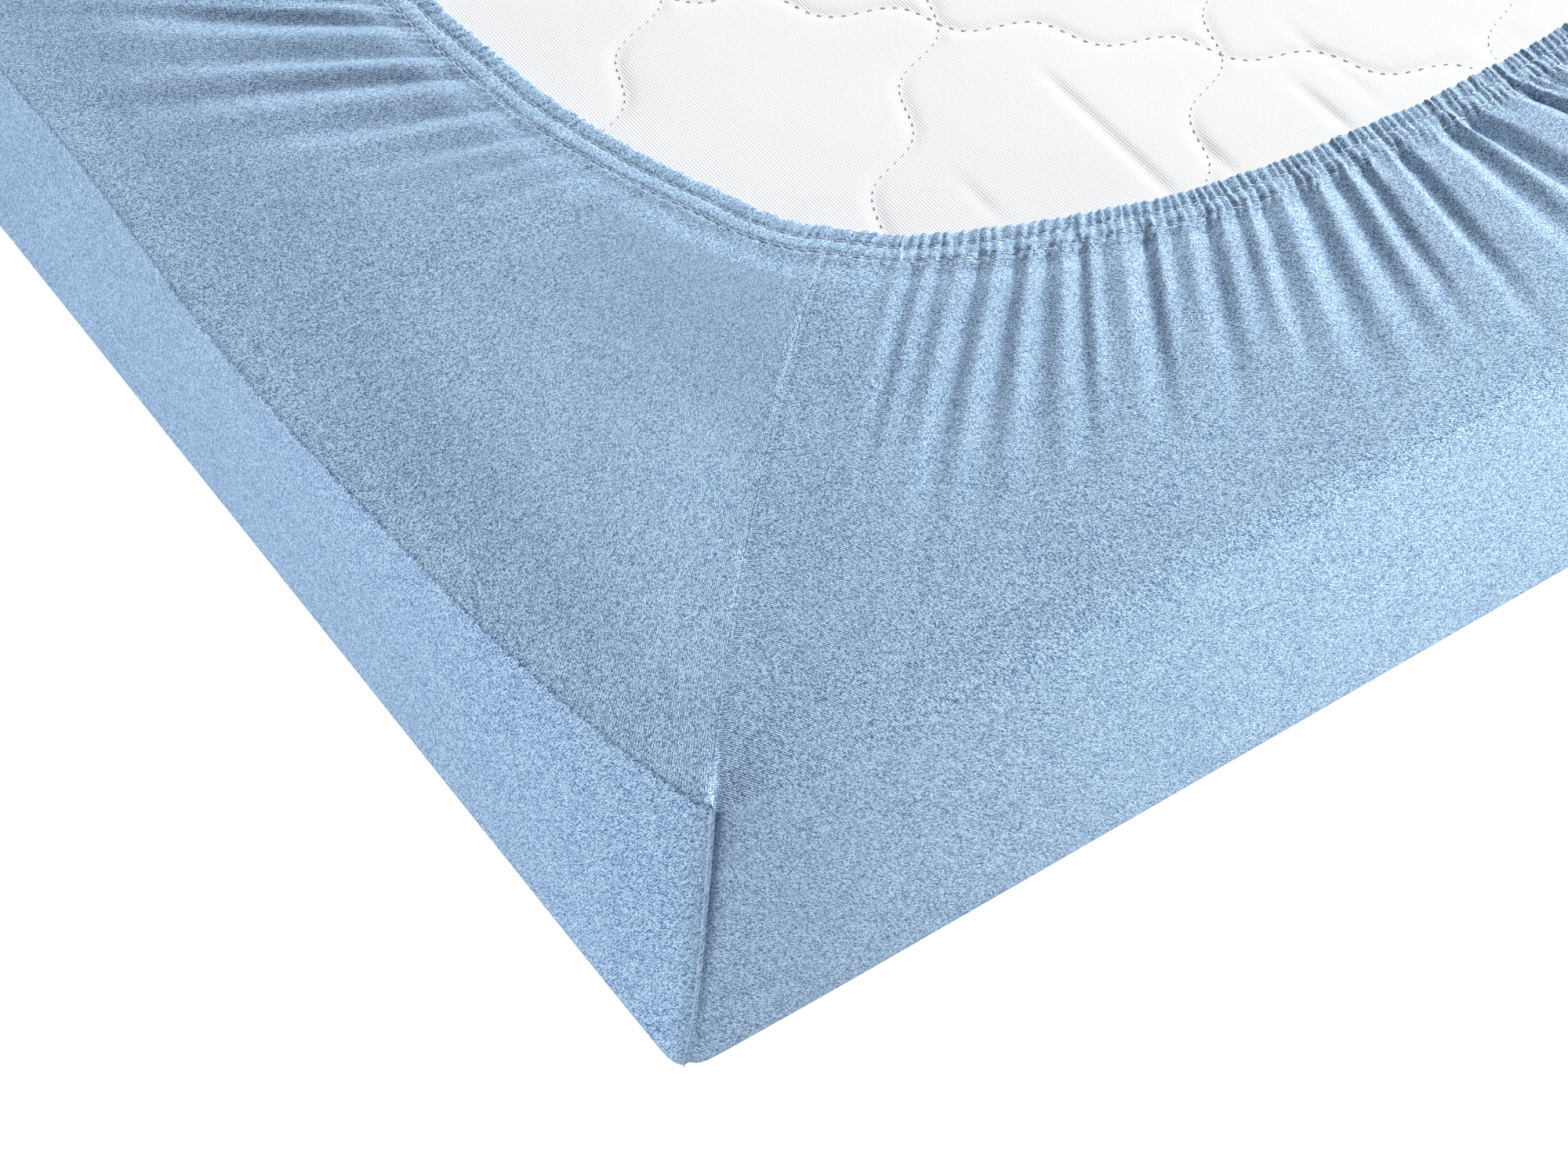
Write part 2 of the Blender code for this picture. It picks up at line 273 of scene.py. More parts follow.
def valleys_of(arm):
    """Rows of (place, depth, width before, width after, reach) in metres for one half side."""
    long = LONG[arm // 2]
    share, stray = ARM_CHARACTER[arm]
    rows = list(LONG_SIDE_VALLEYS if long else SHORT_SIDE_VALLEYS)
    middle = (HALF_Y if long else HALF_X) / MM
    if long:
        last = rows[-1][0]
        count = int((middle - last) / LONG_SIDE_PITCH)
        pitch = (middle - last) / count
        for k in range(1, count):
            small = SMALL_FOLD[0] * (1 + 0.5 * sin(1.1 * k + arm))
            large = LARGE_FOLD[0] * (1 + 0.2 * sin(2.1 * k))
            rows.append((last + (k - 0.5) * pitch, small, SMALL_FOLD[1]))
            rows.append((last + k * pitch, large, LARGE_FOLD[1] * (1 + 0.15 * sin(1.3 * k))))
    places = [place + stray * sin(1.7 * k + arm) for k, (place, _, _) in enumerate(rows)]
    places = [SEAM / MM + FIRST_FOLD_GAP] + places + [2 * middle - places[-1]]
    crest = LONG_SIDE_CREST if long else SHORT_SIDE_CREST
    made = []
    for k, (_, depth, reach) in enumerate(rows):
        before, place, after = places[k:k + 3]
        swell = share * (1 + 0.06 * stray * sin(2.3 * k + 2 * arm))
        made.append((place * MM, depth * swell * MM, (place - before) * (1 - crest) * MM,
                     (after - place) * crest * MM, reach * MM))
    return made


def edge_of(arm, hem):
    """Where the line of cloth through a place at the hem meets the mattress's edge."""
    long = LONG[arm // 2]
    rows = list(LONG_SIDE_LINES if long else SHORT_SIDE_LINES)
    if long:
        last_hem, last_edge = rows[-1]
        middle = HALF_Y / MM
        for share in (0.15, 0.3, 0.45, 0.6, 0.8, 1.0):
            place = last_hem + share * (middle - last_hem)
            rows.append((place, place + (last_edge - last_hem) * (1 - share) ** 1.2))
    table = np.array([(SEAM / MM, 0.0)] + rows) * MM
    return np.interp(hem, table[:, 0], table[:, 1])


VALLEYS = [valleys_of(arm) for arm in range(8)]
print("folds on each half side", [len(rows) for rows in VALLEYS])

# %% [markdown]
# The cloth is cut as a flat grid and wrapped: a line of the grid for every line of thread that
# runs from under the mattress, up the wall and over the flange to the hem. The lines are close
# together where the photo looks and further apart on the far sides. Each line knows its half
# side, its distance along the hem from the corner seam, and its places at the hem and the edge.

# %% Lines of cloth
MAIN_EVERY = 3             # the main sheet has one line for so many of the hem's
SEAM_SIDE = 0.005          # beside a seam the lines stay parallel to it this far
FINE_GAP = 0.00052         # gaps between the hem's lines: near the photo's corner, then further off
SHORT_SIDE_GAP = 0.00110
LONG_SIDE_GAP = 0.00152
SOFTENING = 30             # the bends of the edge table are softened over so many lines


def line_gap(arm, run):
    """The wanted gap between two of the hem's lines."""
    if arm in (0, 1):
        return np.full_like(run, FINE_GAP)
    if arm == 7:
        return FINE_GAP + (LONG_SIDE_GAP - FINE_GAP) * smooth((run - 0.46) / 0.06)
    return np.full_like(run, LONG_SIDE_GAP if LONG[arm // 2] else SHORT_SIDE_GAP)


def half_side(arm):
    """Arrays (run, hem, edge, across, slope) of a half side's lines, from its seam."""
    long = LONG[arm // 2]
    along, across, slope, run = HEM_LINES[long]
    wanted = np.concatenate([[0.0], np.cumsum(np.diff(run) / line_gap(arm, run[1:]))])
    count = int(round(wanted[-1] / MAIN_EVERY)) * MAIN_EVERY
    runs = np.interp(np.linspace(0, wanted[-1], count + 1), wanted, run)
    hem = np.interp(runs, run, along)
    edge = edge_of(arm, hem)
    window = np.ones(SOFTENING + 1) / (SOFTENING + 1)
    padded = np.concatenate([-edge[SOFTENING:0:-1], edge, 2 * edge[-1] - edge[-2:-SOFTENING - 2:-1]])
    soft = np.convolve(padded, window, "same")[SOFTENING:-SOFTENING]
    near = smooth((runs - SEAM_SIDE) / 0.012)
    edge = edge * (1 - near) + soft * near
    return runs, hem, edge, np.interp(hem, along, across), np.interp(hem, along, slope)


class Lines:
    """The lines of cloth round the whole hem, anticlockwise from the near corner."""

    def __init__(self):
        parts = []
        for side in range(4):
            first = half_side(2 * side)
            second = half_side(2 * side + 1)
            parts.append((2 * side, [a[:-1] for a in first]))
            parts.append((2 * side + 1, [a[:0:-1] for a in second]))
        self.arm = np.concatenate([np.full(len(a[0]), arm) for arm, a in parts] + [[0]])
        stack = [np.concatenate([a[k] for _, a in parts] + [parts[0][1][k][:1]]) for k in range(5)]
        self.run, self.hem, self.edge, self.across, self.slope = stack
        self.fill_in()

    def fill_in(self):
        """What follows from the half side and the places: points, directions and lengths."""
        self.side = self.arm // 2
        self.end = self.arm % 2 == 1
        self.long = np.array(LONG)[self.side]
        self.length = np.array(LENGTH)[self.side]
        self.corner = np.array([c for c, _, _ in SIDES], float)[self.side]
        self.way = np.array([w for _, w, _ in SIDES], float)[self.side]
        self.inward = np.array([n for _, _, n in SIDES], float)[self.side]
        place = np.where(self.end, self.length - self.hem, self.hem)
        self.hem_point = self.on_side(place, self.across)
        tilt = np.where(self.end, self.slope, -self.slope)
        size = np.hypot(1.0, tilt)
        self.to_middle = (self.inward + self.way * tilt[:, None]) / size[:, None]
        self.on_edge = np.where(self.end, self.length - self.edge, self.edge)

    def on_side(self, along, across):
        outer = self.corner * np.array((HALF_X, HALF_Y))
        return outer + self.way * along[:, None] + self.inward * across[:, None]

    def thinned(self, every):
        few = object.__new__(Lines)
        for name in ("arm", "run", "hem", "edge", "across", "slope"):
            setattr(few, name, getattr(self, name)[::every])
        few.fill_in()
        return few


fine = Lines()
main = fine.thinned(MAIN_EVERY)
print(len(fine.run), "lines at the hem,", len(main.run), "on the sheet")

# %% [markdown]
# A wall stands between the lower and the upper edge of the mattress. Each corner's seam draws
# the top of its corner in, the long sides bow out a little, and the corner itself is round, more
# so near the floor. One function gives the plan place of every line at any height, so the wall,
# both edges and the flange's border all agree.

# %% Walls
ROUND_AT_TOP = 0.007       # how much of a corner is rounded off, seen from above
ROUND_AT_FOOT = 0.011
CREASE_RADIUS = 0.0016     # the long sides' upper edges are a sharp crease
SHORT_EDGE_SWELL = 0.0085  # the short sides' grow rounder by this much away from the corner
SWELL_REACH = 0.22
TUCK_DEPTH = 0.0048        # beside a seam the cloth on its right lies lower than on its left
TUCK_REACH = 0.021
TUCK_LIP = 0.0015
TUCK_AT_FOOT = (0.35, 0.30)    # the shares of its reach and of its depth that are left at the foot


def pull_fade(distance, reach, power):
    """From 1 at a corner to 0 at its reach."""
    return np.clip(1.0 - distance / reach, 0.0, 1.0) ** power


def bow_at(distance):
    """The long side's bow, from 0 to 1 and back to 0."""
    share = np.clip((distance - BOW_START) / (BOW_END - BOW_START), 0.0, 1.0)
    return (4 * share * (1 - share)) ** 1.5


def wall_place(lines, rise, inset):
    """Plan places of the lines at a height share rise, moved in by inset."""
    along = inset + lines.on_edge * (1 - 2 * inset / lines.length)
    inward = np.zeros_like(along) + inset
    risen = rise ** PULL_RISE_POWER
    rounding = ROUND_AT_FOOT + (ROUND_AT_TOP - ROUND_AT_FOOT) * rise
    for at_end in (False, True):
        distance = lines.length - lines.on_edge if at_end else lines.on_edge
        across = np.zeros_like(along)
        slide = np.zeros_like(along)
        for side in range(4):
            (sx, sy), (ax, ay), _ = SIDES[side]
            corner = (sx + 2 * ax, sy + 2 * ay) if at_end else (sx, sy)
            pull_x, pull_y = CORNER_PULLS[corner]
            here = lines.side == side
            across[here], slide[here] = (pull_x, pull_y) if LONG[side] else (pull_y, pull_x)
        inward += across * risen * pull_fade(distance, PULL_REACH + PULL_REACH_GAIN * across, PULL_FADE)
        shift = slide * risen * pull_fade(distance, SLIDE_REACH, 2.0)
        corner_cut = rounding / 4 * pull_fade(distance, rounding, 2.0)
        along += (shift + corner_cut) * (-1 if at_end else 1)
        inward += corner_cut
        inward -= np.where(lines.long, SIDE_BOW * rise * bow_at(distance), 0.0)
    return along, inward


def tuck(lines, rise):
    """How deep the right-hand cloth lies beside the seam on its left."""
    reach, depth = (share + (1 - share) * rise for share in TUCK_AT_FOOT)
    beside = np.where(lines.end, 0.0, np.exp(-(lines.on_edge / (TUCK_REACH * reach)) ** 1.5))
    return TUCK_DEPTH * beside * smooth(lines.on_edge / TUCK_LIP) * depth


def wall_ring(lines, height, inset, rise):
    """One ring of points round the mattress at a height."""
    along, inward = wall_place(lines, rise, inset)
    return np.column_stack([lines.on_side(along, inward), np.zeros_like(along) + height])


def lower_radius(lines):
    distance = np.minimum(lines.on_edge, lines.length - lines.on_edge)
    return FOOT_RADIUS + CORNER_LIFT * pull_fade(distance, CORNER_LIFT_REACH, 2.0)


def upper_radius(lines):
    distance = np.minimum(lines.on_edge, lines.length - lines.on_edge)
    return CREASE_RADIUS + np.where(lines.long, 0.0, SHORT_EDGE_SWELL) * smooth(distance / SWELL_REACH)


edge_radii = upper_radius(main)
print("upper edge radius", round(edge_radii.min(), 4), "to", round(edge_radii.max(), 4))

# %% [markdown]
# The flange is drawn with straight lines from the hem to the edge, raised by the folds. A fold
# is deepest just outside the hem, where the elastic lets go, and sinks into the flat towards the
# edge. Its valley is a sharp notch at the hem and a soft trough further out. The two flanks of a
# valley may be hollowed differently, because the real folds lean.

# %% Folds of the flange
HEM_LIFT = 0.0006          # the hem is thicker than the sheet and stands on the flange
FLANGE_RISE = 0.0010       # the padded face stands a little higher in its middle
FOLD_RISE = 0.0026         # the folds' backs stand this much over the flat
FOLD_RISE_REACH = 0.110
RISE_AT_HEM = 0.35         # the share of that rise at the hem, which is full this much further out
RISE_FULL = 0.022
FOLD_STRENGTH = (2.3, 1.60)    # times the tables' depths, on the short and on the long sides
FOLD_START = (0.55, 0.35)      # the share of a fold that is left at the hem, likewise
FOLD_FULL = (0.010, 0.030)     # how far out it has its full depth, likewise
NOTCH_SOFTNESS = (0.8, 0.075)  # how soft a valley becomes, and how far out
LASTING = 0.3              # a fold keeps its depth over this share of its reach
FOLD_FLANKS = ((1.10, 1.10), (1.50, 1.05))   # how hollow a valley's two flanks are, likewise
SHORT_EDGE = (0.0024, 0.050)   # how far the padded edge falls, and over what width
LONG_EDGE = (0.0060, 0.085)
SEAM_VALLEY = 0.0026       # the seam is pulled tight and lies in a shallow valley
SEAM_VALLEY_REACH = 0.034
POCKET = 0.0035            # the hollow beside the top end of a seam
POCKET_SIZE = (0.020, 0.012)   # its reach along the edge and in from it
SEAM_BOW = 0.006           # the seam's line on the flange bows sideways
SEAM_BOW_REACH = 0.05


def fold_height(lines, away):
    """Height of the folds at a distance away from the hem's inner stitch row."""
    rise = RISE_AT_HEM + (1 - RISE_AT_HEM) * smooth(away / RISE_FULL)
    total = FOLD_RISE * rise * (1 - smooth(away / FOLD_RISE_REACH))
    for arm in range(8):
        long = LONG[arm // 2]
        here = lines.arm == arm
        off_hem = away[here]
        softness = NOTCH_SOFTNESS[0] * smooth(off_hem / NOTCH_SOFTNESS[1])
        far_flank, near_flank = FOLD_FLANKS[long]
        start = FOLD_START[long] + (1 - FOLD_START[long]) * smooth(off_hem / FOLD_FULL[long])
        mirrored = LENGTH[arm // 2] - lines.hem[here]
        for valleys, places in ((VALLEYS[arm], lines.hem[here]), (VALLEYS[arm ^ 1], mirrored)):
            for place, depth, before, after, reach in valleys:
                off = places - place
                near = np.clip(1 - np.abs(off) / np.where(off < 0, before, after), 0.0, 1.0)
                sharp = near ** np.where(off < 0, far_flank, near_flank)
                notch = start * (sharp + (smooth(near) - sharp) * softness)
                lasting = 1 - smooth(off_hem / reach - LASTING)
                total[here] -= FOLD_STRENGTH[long] * depth * notch * lasting
    return total


def waves(lines, away):
    """The slow unevenness of cloth on a padded mattress."""
    place = lines.hem + 2.0 * lines.arm
    return 0.00045 * np.sin(place * 71 + away * 23) * np.sin(away * 38 + 1.3 * lines.arm)


def flange_ring(lines, share):
    """Places on the flange at a share of the way from the hem's stitch row to the edge."""
    radius = upper_radius(lines)
    along, inward = wall_place(lines, 1.0, radius)
    border = lines.on_side(along, inward)
    span = np.hypot(*(border - lines.hem_point).T)
    plan = lines.hem_point + (border - lines.hem_point) * share[:, None]
    bow = SEAM_BOW * np.exp(-lines.run / SEAM_BOW_REACH) * 4 * share * (1 - share)
    sideways = np.where(lines.end, -1.0, 1.0)[:, None] * lines.way - lines.inward
    plan -= sideways * (bow * np.where(lines.end, -1.0, 1.0) / 2 ** 0.5)[:, None]
    away = share * span
    to_edge = span - away
    beside = smooth(lines.run / 0.15) * lines.long
    fall, width = (short + (long - short) * beside for short, long in zip(SHORT_EDGE, LONG_EDGE))
    drop = fall * (1 - smooth(to_edge / width))
    off = lines.run + (lines.edge / 2 ** 0.5 - lines.run) * share
    drop = drop + SEAM_VALLEY * np.exp(-(off / SEAM_VALLEY_REACH) ** 2) * np.sin(pi * np.clip(share, 0, 1))
    hollow = np.exp(-(lines.edge / POCKET_SIZE[0]) ** 2 - (to_edge / POCKET_SIZE[1]) ** 2)
    hollow = hollow * smooth(lines.edge / TUCK_LIP)
    drop = drop + np.where(lines.end, 0.0, POCKET * hollow)
    lift = HEM_LIFT * (1 - smooth((away - 0.001) / 0.006))
    height = TOP + FLANGE_RISE - drop + lift + fold_height(lines, away) + waves(lines, away)
    return np.column_stack([plan, height]), away


sample, _ = flange_ring(main, np.full(len(main.run), 0.1))
print("flange near the hem stands", round(sample[:, 2].min(), 4), "to", round(sample[:, 2].max(), 4))

# %% [markdown]
# A grid primitive is a flat piece of cloth: rows and columns of points with UVs. wrap_grid adds
# one with a column for every line and a row for every ring, and then puts each point in its
# place. The UV map is set to the cloth's own metres, so that the knit keeps its size on it. The
# two ends of the grid meet at the near corner's seam and are welded there.

# %% Wrapping a grid
WELD = 0.000002            # points closer than this are one


def deselect():
    """Operators act on all that is selected, so each step starts with nothing."""
    if bpy.context.object and bpy.context.object.mode != "OBJECT":
        bpy.ops.object.mode_set(mode="OBJECT")
    bpy.ops.object.select_all(action="DESELECT")


def wrap_grid(name, rings, cloth, weld=True):
    """rings: arrays of (columns, 3) places. cloth: UVs in metres, as (rows, columns, 2) arrays.

    cloth is a pair: the UVs as the faces right of a column see them, and as those left of it do.
    """
    rows, columns = len(rings), len(rings[0])
    deselect()
    bpy.ops.mesh.primitive_grid_add(x_subdivisions=columns - 1, y_subdivisions=rows - 1, size=1.0)
    piece = bpy.context.object
    piece.name = piece.data.name = name
    mesh = piece.data
    flat = np.empty(len(mesh.vertices) * 3)
    mesh.vertices.foreach_get("co", flat)
    flat = flat.reshape(-1, 3)
    column = np.rint((flat[:, 0] + 0.5) * (columns - 1)).astype(int)
    row = np.rint((flat[:, 1] + 0.5) * (rows - 1)).astype(int)
    places = np.array(rings)
    if weld:
        places[:, -1] = places[:, 0]
    places = places[row, column]
    mesh.vertices.foreach_set("co", places.ravel())
    corners = np.empty(len(mesh.loops), np.int32)
    mesh.loops.foreach_get("vertex_index", corners)
    face_column = column[corners].reshape(-1, 4).min(axis=1).repeat(4)
    right_of, left_of = (np.array(side)[row[corners], column[corners]] for side in cloth)
    uvs = np.where((column[corners] > face_column)[:, None], left_of, right_of)
    mesh.uv_layers.active.data.foreach_set("uv", uvs.ravel())
    mesh.update()
    if weld:
        bpy.ops.object.mode_set(mode="EDIT")
        bpy.ops.mesh.select_all(action="SELECT")
        bpy.ops.mesh.remove_doubles(threshold=WELD)
        bpy.ops.object.mode_set(mode="OBJECT")
    mesh.shade_smooth()
    return piece


def measure(piece):
    """Print a piece's triangles and its box."""
    piece.data.calc_loop_triangles()
    low = np.min([v.co for v in piece.data.vertices], axis=0)
    high = np.max([v.co for v in piece.data.vertices], axis=0)
    print(piece.name, len(piece.data.loop_triangles), "triangles, from",
          np.round(low, 4).tolist(), "to", np.round(high, 4).tolist())


# %% [markdown]
# The main sheet runs from its border with the hem, over the flange, round the upper edge, down
# the wall, round the lower edge and a little way under the mattress, where one face closes the
# panel that lies on the floor. Cloth has an edge only at the hem, so this is one open surface.

# %% The sheet
SKIRT = 0.016              # the hem's own mesh reaches this far out from its stitch row
FLANGE_ROWS = 25
WALL_ROWS = 11
ROUND_ROWS = 6
ROW_CROWDING = 1.15        # the flange's rows are closer together at the hem
WALL_SLANT = 0.5           # on a long wall the ribs lean towards the corner by this much
SLANT_REACH = 0.45
RIB_SHARE = 0.8            # ribs across a long side are counted along its edge at this rate
SEAM_GROOVE = 0.00035
SEAM_GROOVE_WIDTH = 0.0009
SEAM_LIP = 0.00016
LIP_PLACE, LIP_WIDTH = 0.0030, 0.0022
UNDER_REACH = 0.060        # the sheet's last ring lies this far in under the mattress
PAST_FOOT = 0.055          # of the rings on the floor, only that one lies in by more than this


def seam_relief(lines, off):
    """A seam is a groove with a soft lip of turned-in cloth along its left side."""
    groove = -SEAM_GROOVE * np.exp(-(off / SEAM_GROOVE_WIDTH) ** 2)
    lip = SEAM_LIP * np.exp(-((off - LIP_PLACE) / LIP_WIDTH) ** 2) * np.where(lines.end, 1.0, 0.25)
    return groove + lip


def sheet_rings(lines):
    """Rings of points from the hem's border over the flange and down to the floor."""
    radius_top = upper_radius(lines)
    radius_foot = lower_radius(lines)
    border, _ = flange_ring(lines, np.ones(len(lines.run)))
    span = np.hypot(*(border[:, :2] - lines.hem_point).T)
    start = SKIRT / span
    rings = []
    for x in np.linspace(0.0, 1.0, FLANGE_ROWS) ** ROW_CROWDING:
        ring, _ = flange_ring(lines, start + (1 - start) * x)
        off = lines.run + (lines.edge / 2 ** 0.5 - lines.run) * x
        ring[:, 2] += seam_relief(lines, off) * smooth((1.02 - x) / 0.02)
        rings.append(ring)
    edge_height = border[:, 2]
    for angle in np.linspace(0, pi / 2, ROUND_ROWS + 1)[1:]:
        inset = radius_top * (1 - sin(angle))
        height = edge_height - radius_top * (1 - cos(angle))
        rings.append(wall_ring(lines, height, inset + tuck(lines, 1.0) * sin(angle) ** 2, 1.0))
    top_of_wall = edge_height - radius_top
    for x in np.linspace(0, 1, WALL_ROWS + 1)[1:]:
        height = top_of_wall + (radius_foot - top_of_wall) * x
        rise = 1 - x
        rings.append(wall_ring(lines, height, tuck(lines, rise), rise))
    for angle in np.linspace(0, pi / 2, ROUND_ROWS + 1)[1:]:
        height = radius_foot * (1 - sin(angle))
        inset = radius_foot * (1 - cos(angle)) + tuck(lines, 0.0) * cos(angle)
        rings.append(wall_ring(lines, height, inset, 0.0))
    rings.append(wall_ring(lines, 0.0, UNDER_REACH, 0.0))
    return rings


def knit_metres(lines, rings, from_edge, crease):
    """UVs in metres that carry the knit: V runs across its fine ribs and U along them.

    One jersey panel makes the whole sheet, so its ribs lie along the short sides and across the
    long ones. Near a corner the seam pulls them onto a slant. crease is the row of the edge.
    """
    down = [np.zeros(len(lines.run))]
    for before, after in zip(rings, rings[1:]):
        down.append(down[-1] + np.linalg.norm(after - before, axis=1))
    down = np.array(down)
    middle = np.array(rings[crease // 2])
    steps = np.diff(middle, axis=0, prepend=middle[:1])
    outward = np.array(rings[crease]) - rings[0]
    outward /= np.linalg.norm(outward, axis=1, keepdims=True)
    skew = np.cumsum(np.sum(steps * outward, axis=1))
    around = np.cumsum(np.linalg.norm(steps, axis=1))
    on_wall = np.maximum(down - down[crease], 0.0)
    slant = WALL_SLANT * (1 - smooth(from_edge / SLANT_REACH))
    views = []
    for long in (lines.long, np.roll(lines.long, 1)):
        ribs = np.where(long, from_edge * RIB_SHARE - slant * on_wall, down + skew)
        views.append(np.dstack([np.where(long, down, around), ribs]))
    return views


rings = sheet_rings(main)
sheet = wrap_grid("sheet", rings, knit_metres(main, rings, main.edge, FLANGE_ROWS - 1))
bpy.ops.object.mode_set(mode="EDIT")
bpy.ops.mesh.select_all(action="DESELECT")
bpy.ops.object.mode_set(mode="OBJECT")
points = sheet.data.vertices
for edge in sheet.data.edges:
    ends = [points[v].co for v in edge.vertices]
    edge.select = all(p.z < WELD and HALF_X - abs(p.x) > PAST_FOOT and HALF_Y - abs(p.y) > PAST_FOOT
                      for p in ends)
bpy.ops.object.mode_set(mode="EDIT")
bpy.ops.mesh.select_mode(type="EDGE")
bpy.ops.mesh.edge_face_add()
bpy.ops.mesh.select_all(action="SELECT")
bpy.ops.mesh.normals_make_consistent(inside=False)
bpy.ops.object.mode_set(mode="OBJECT")
measure(sheet)

# %% [markdown]
# The hem is a casing: the cloth is turned in twice, sewn down with two rows of stitches, and a
# narrow elastic inside each strip gathers it. Its gathers could be a displacement texture, but
# they are what one sees first, so they are real shape. Every gather is one arch between two
# pinched places. Each has its own height, lean and tail below the stitches, drawn from a fixed
# seed, and an arch is zero at both ends, so neighbours may differ and still join. The arches' mean
# is taken off again, because otherwise higher gathers would only make the hem thicker.

# %% The hem's gathers
ROW_GAP = 0.0087           # from the inner stitch row to the outer one
HEM_THICKNESS = 0.0028
GATHER_CREST = 0.70        # where in its arch a gather is highest, away from the corner
GATHER_MEAN = 0.60
GATHER_STRIP = 0.0046      # a gather's lean is told per this width of hem
# Gathers on the short and on the long sides: pitch, change of pitch, where that starts and ends.
SHORT_PITCH = (0.0047, -0.0006, 0.06, 0.14)
LONG_PITCH = (0.0052, 0.0024, 0.34, 0.44)
# Full heights on the short and on the long sides, and the share of them beside a seam.
OUTER_GATHER, OUTER_AT_SEAM = (0.0011, 0.0013), 0.75
INNER_GATHER, INNER_AT_SEAM = (0.0009, 0.0005), 0.40
PINCH, PINCH_WIDTH = 0.16, 0.0012      # a stitch row flattens the gathers by this share
dice = np.random.default_rng(11)


def noise(place, period, seed):
    """Slow even noise between about -1 and 1 along a line."""
    turns = 2 * pi * place / period
    return 0.5 * np.sin(turns + seed) + 0.3 * np.sin(2.3 * turns + 2.1 * seed) \
        + 0.2 * np.sin(4.1 * turns + 3.7 * seed)


def hem_places(lines):
    """Distance round the hem, with half sides run through from seam to seam."""
    steps = np.abs(np.diff(lines.run))
    return np.concatenate([[0.0], np.cumsum(steps)])


ROUND = hem_places(fine)


def pitch_of(start, change, first, last):
    return start + change * smooth((fine.run - first) / (last - first))


pitch = np.where(fine.long, pitch_of(*LONG_PITCH), pitch_of(*SHORT_PITCH))
pitch = pitch * (1 + 0.16 * noise(ROUND, 0.043, 0.4))
phase = np.concatenate([[0.0], np.cumsum(np.diff(ROUND) / pitch[1:])])
gather_count = int(phase[-1]) + 4
gather_height = 0.72 + 0.45 * dice.random(gather_count)
gather_calm = dice.random(gather_count)
gather_lean = 0.10 * dice.standard_normal(gather_count)
gather_tail = 0.0050 + 0.0060 * dice.random(gather_count)
lean_slow = 0.16 * noise(ROUND, 0.21, 1.9) - np.where(fine.long, 0.10, 0.40)
print(gather_count, "gathers")


def gathers(across):
    """Arches at a signed distance inwards from the inner stitch row, and each line's gather."""
    turned = phase + lean_slow * across / GATHER_STRIP * (1 if across < 0 else 0.7)
    index = np.clip(np.floor(turned).astype(int), 0, gather_count - 1)
    turned = turned + gather_lean[index] * across / GATHER_STRIP * np.sin(pi * (turned - index))
    place = np.where(fine.end, index + 1 - turned, turned - index)
    side = np.where(place < GATHER_CREST, (GATHER_CREST - place) / GATHER_CREST,
                    (place - GATHER_CREST) / (1 - GATHER_CREST))
    return np.clip(1 - side ** 2, 0.0, 1.0) - GATHER_MEAN, index


def gather_size(across, index):
    """Full height of the gathers there."""
    outer = np.where(fine.long, OUTER_GATHER[1], OUTER_GATHER[0])
    outer = outer * (OUTER_AT_SEAM + (1 - OUTER_AT_SEAM) * smooth(fine.run / 0.020))
    inner = np.where(fine.long, INNER_GATHER[1], INNER_GATHER[0])
    inner = inner * (INNER_AT_SEAM + (1 - INNER_AT_SEAM) * smooth((fine.run - 0.004) / 0.040))
    calm = np.where(fine.long, 0.40 + 0.95 * gather_calm[index] ** 1.4, 1.0)
    strip = smooth((across - ROW_GAP + 0.001) / 0.002)
    size = (inner + (outer - inner) * strip) * gather_height[index] * calm
    pinches = sum(PINCH * np.exp(-((across - row) / PINCH_WIDTH) ** 2) for row in (ROW_GAP, 0.0))
    size = size * (1 - pinches)
    if across < 0:
        size = size * (1 - smooth(-across / gather_tail[index])) * 1.05
    return size


# %% [markdown]
# The hem's mesh starts a little way out on the flange, where the gathers have died away, so that
# its border can lie on the main sheet's border line. From there its rows cross the two stitch
# grooves and roll over the edge. Its columns are three times as close as the sheet's.

# %% The hem
# Rows of points, in millimetres in from the inner stitch row, and the roll of the edge: in, down.
HEM_ROWS_MM = (-12.5, -9.0, -6.2, -4.0, -2.2, -1.0, 0.0, 1.0, 2.4, 4.4, 6.4, 7.7, 8.7, 9.7, 11.2, 13.2, 15.2)
EDGE_ROLL_MM = ((16.5, 0.1), (17.3, 0.5), (17.6, 1.0), (17.2, 1.6), (15.5, 2.2))
STITCH_GROOVE, GROOVE_WIDTH = 0.00045, 0.0007
PILLOW = 0.00022           # each strip is a little full between its stitches
EDGE_WANDER = 0.0006       # the hem's edge wanders, and each gather pushes it out, by this much
FOLDS_TAKEN = 0.80         # the elastic takes this share of the folds off the hem
HEM_FALL = 0.0004          # the hem's edge lies this much lower than its stitch row
GATHERED = 1.6             # metres of cloth in a metre of hem


def groove(across):
    return STITCH_GROOVE * sum(np.exp(-((across - row) / GROOVE_WIDTH) ** 2) for row in (0.0, ROW_GAP))


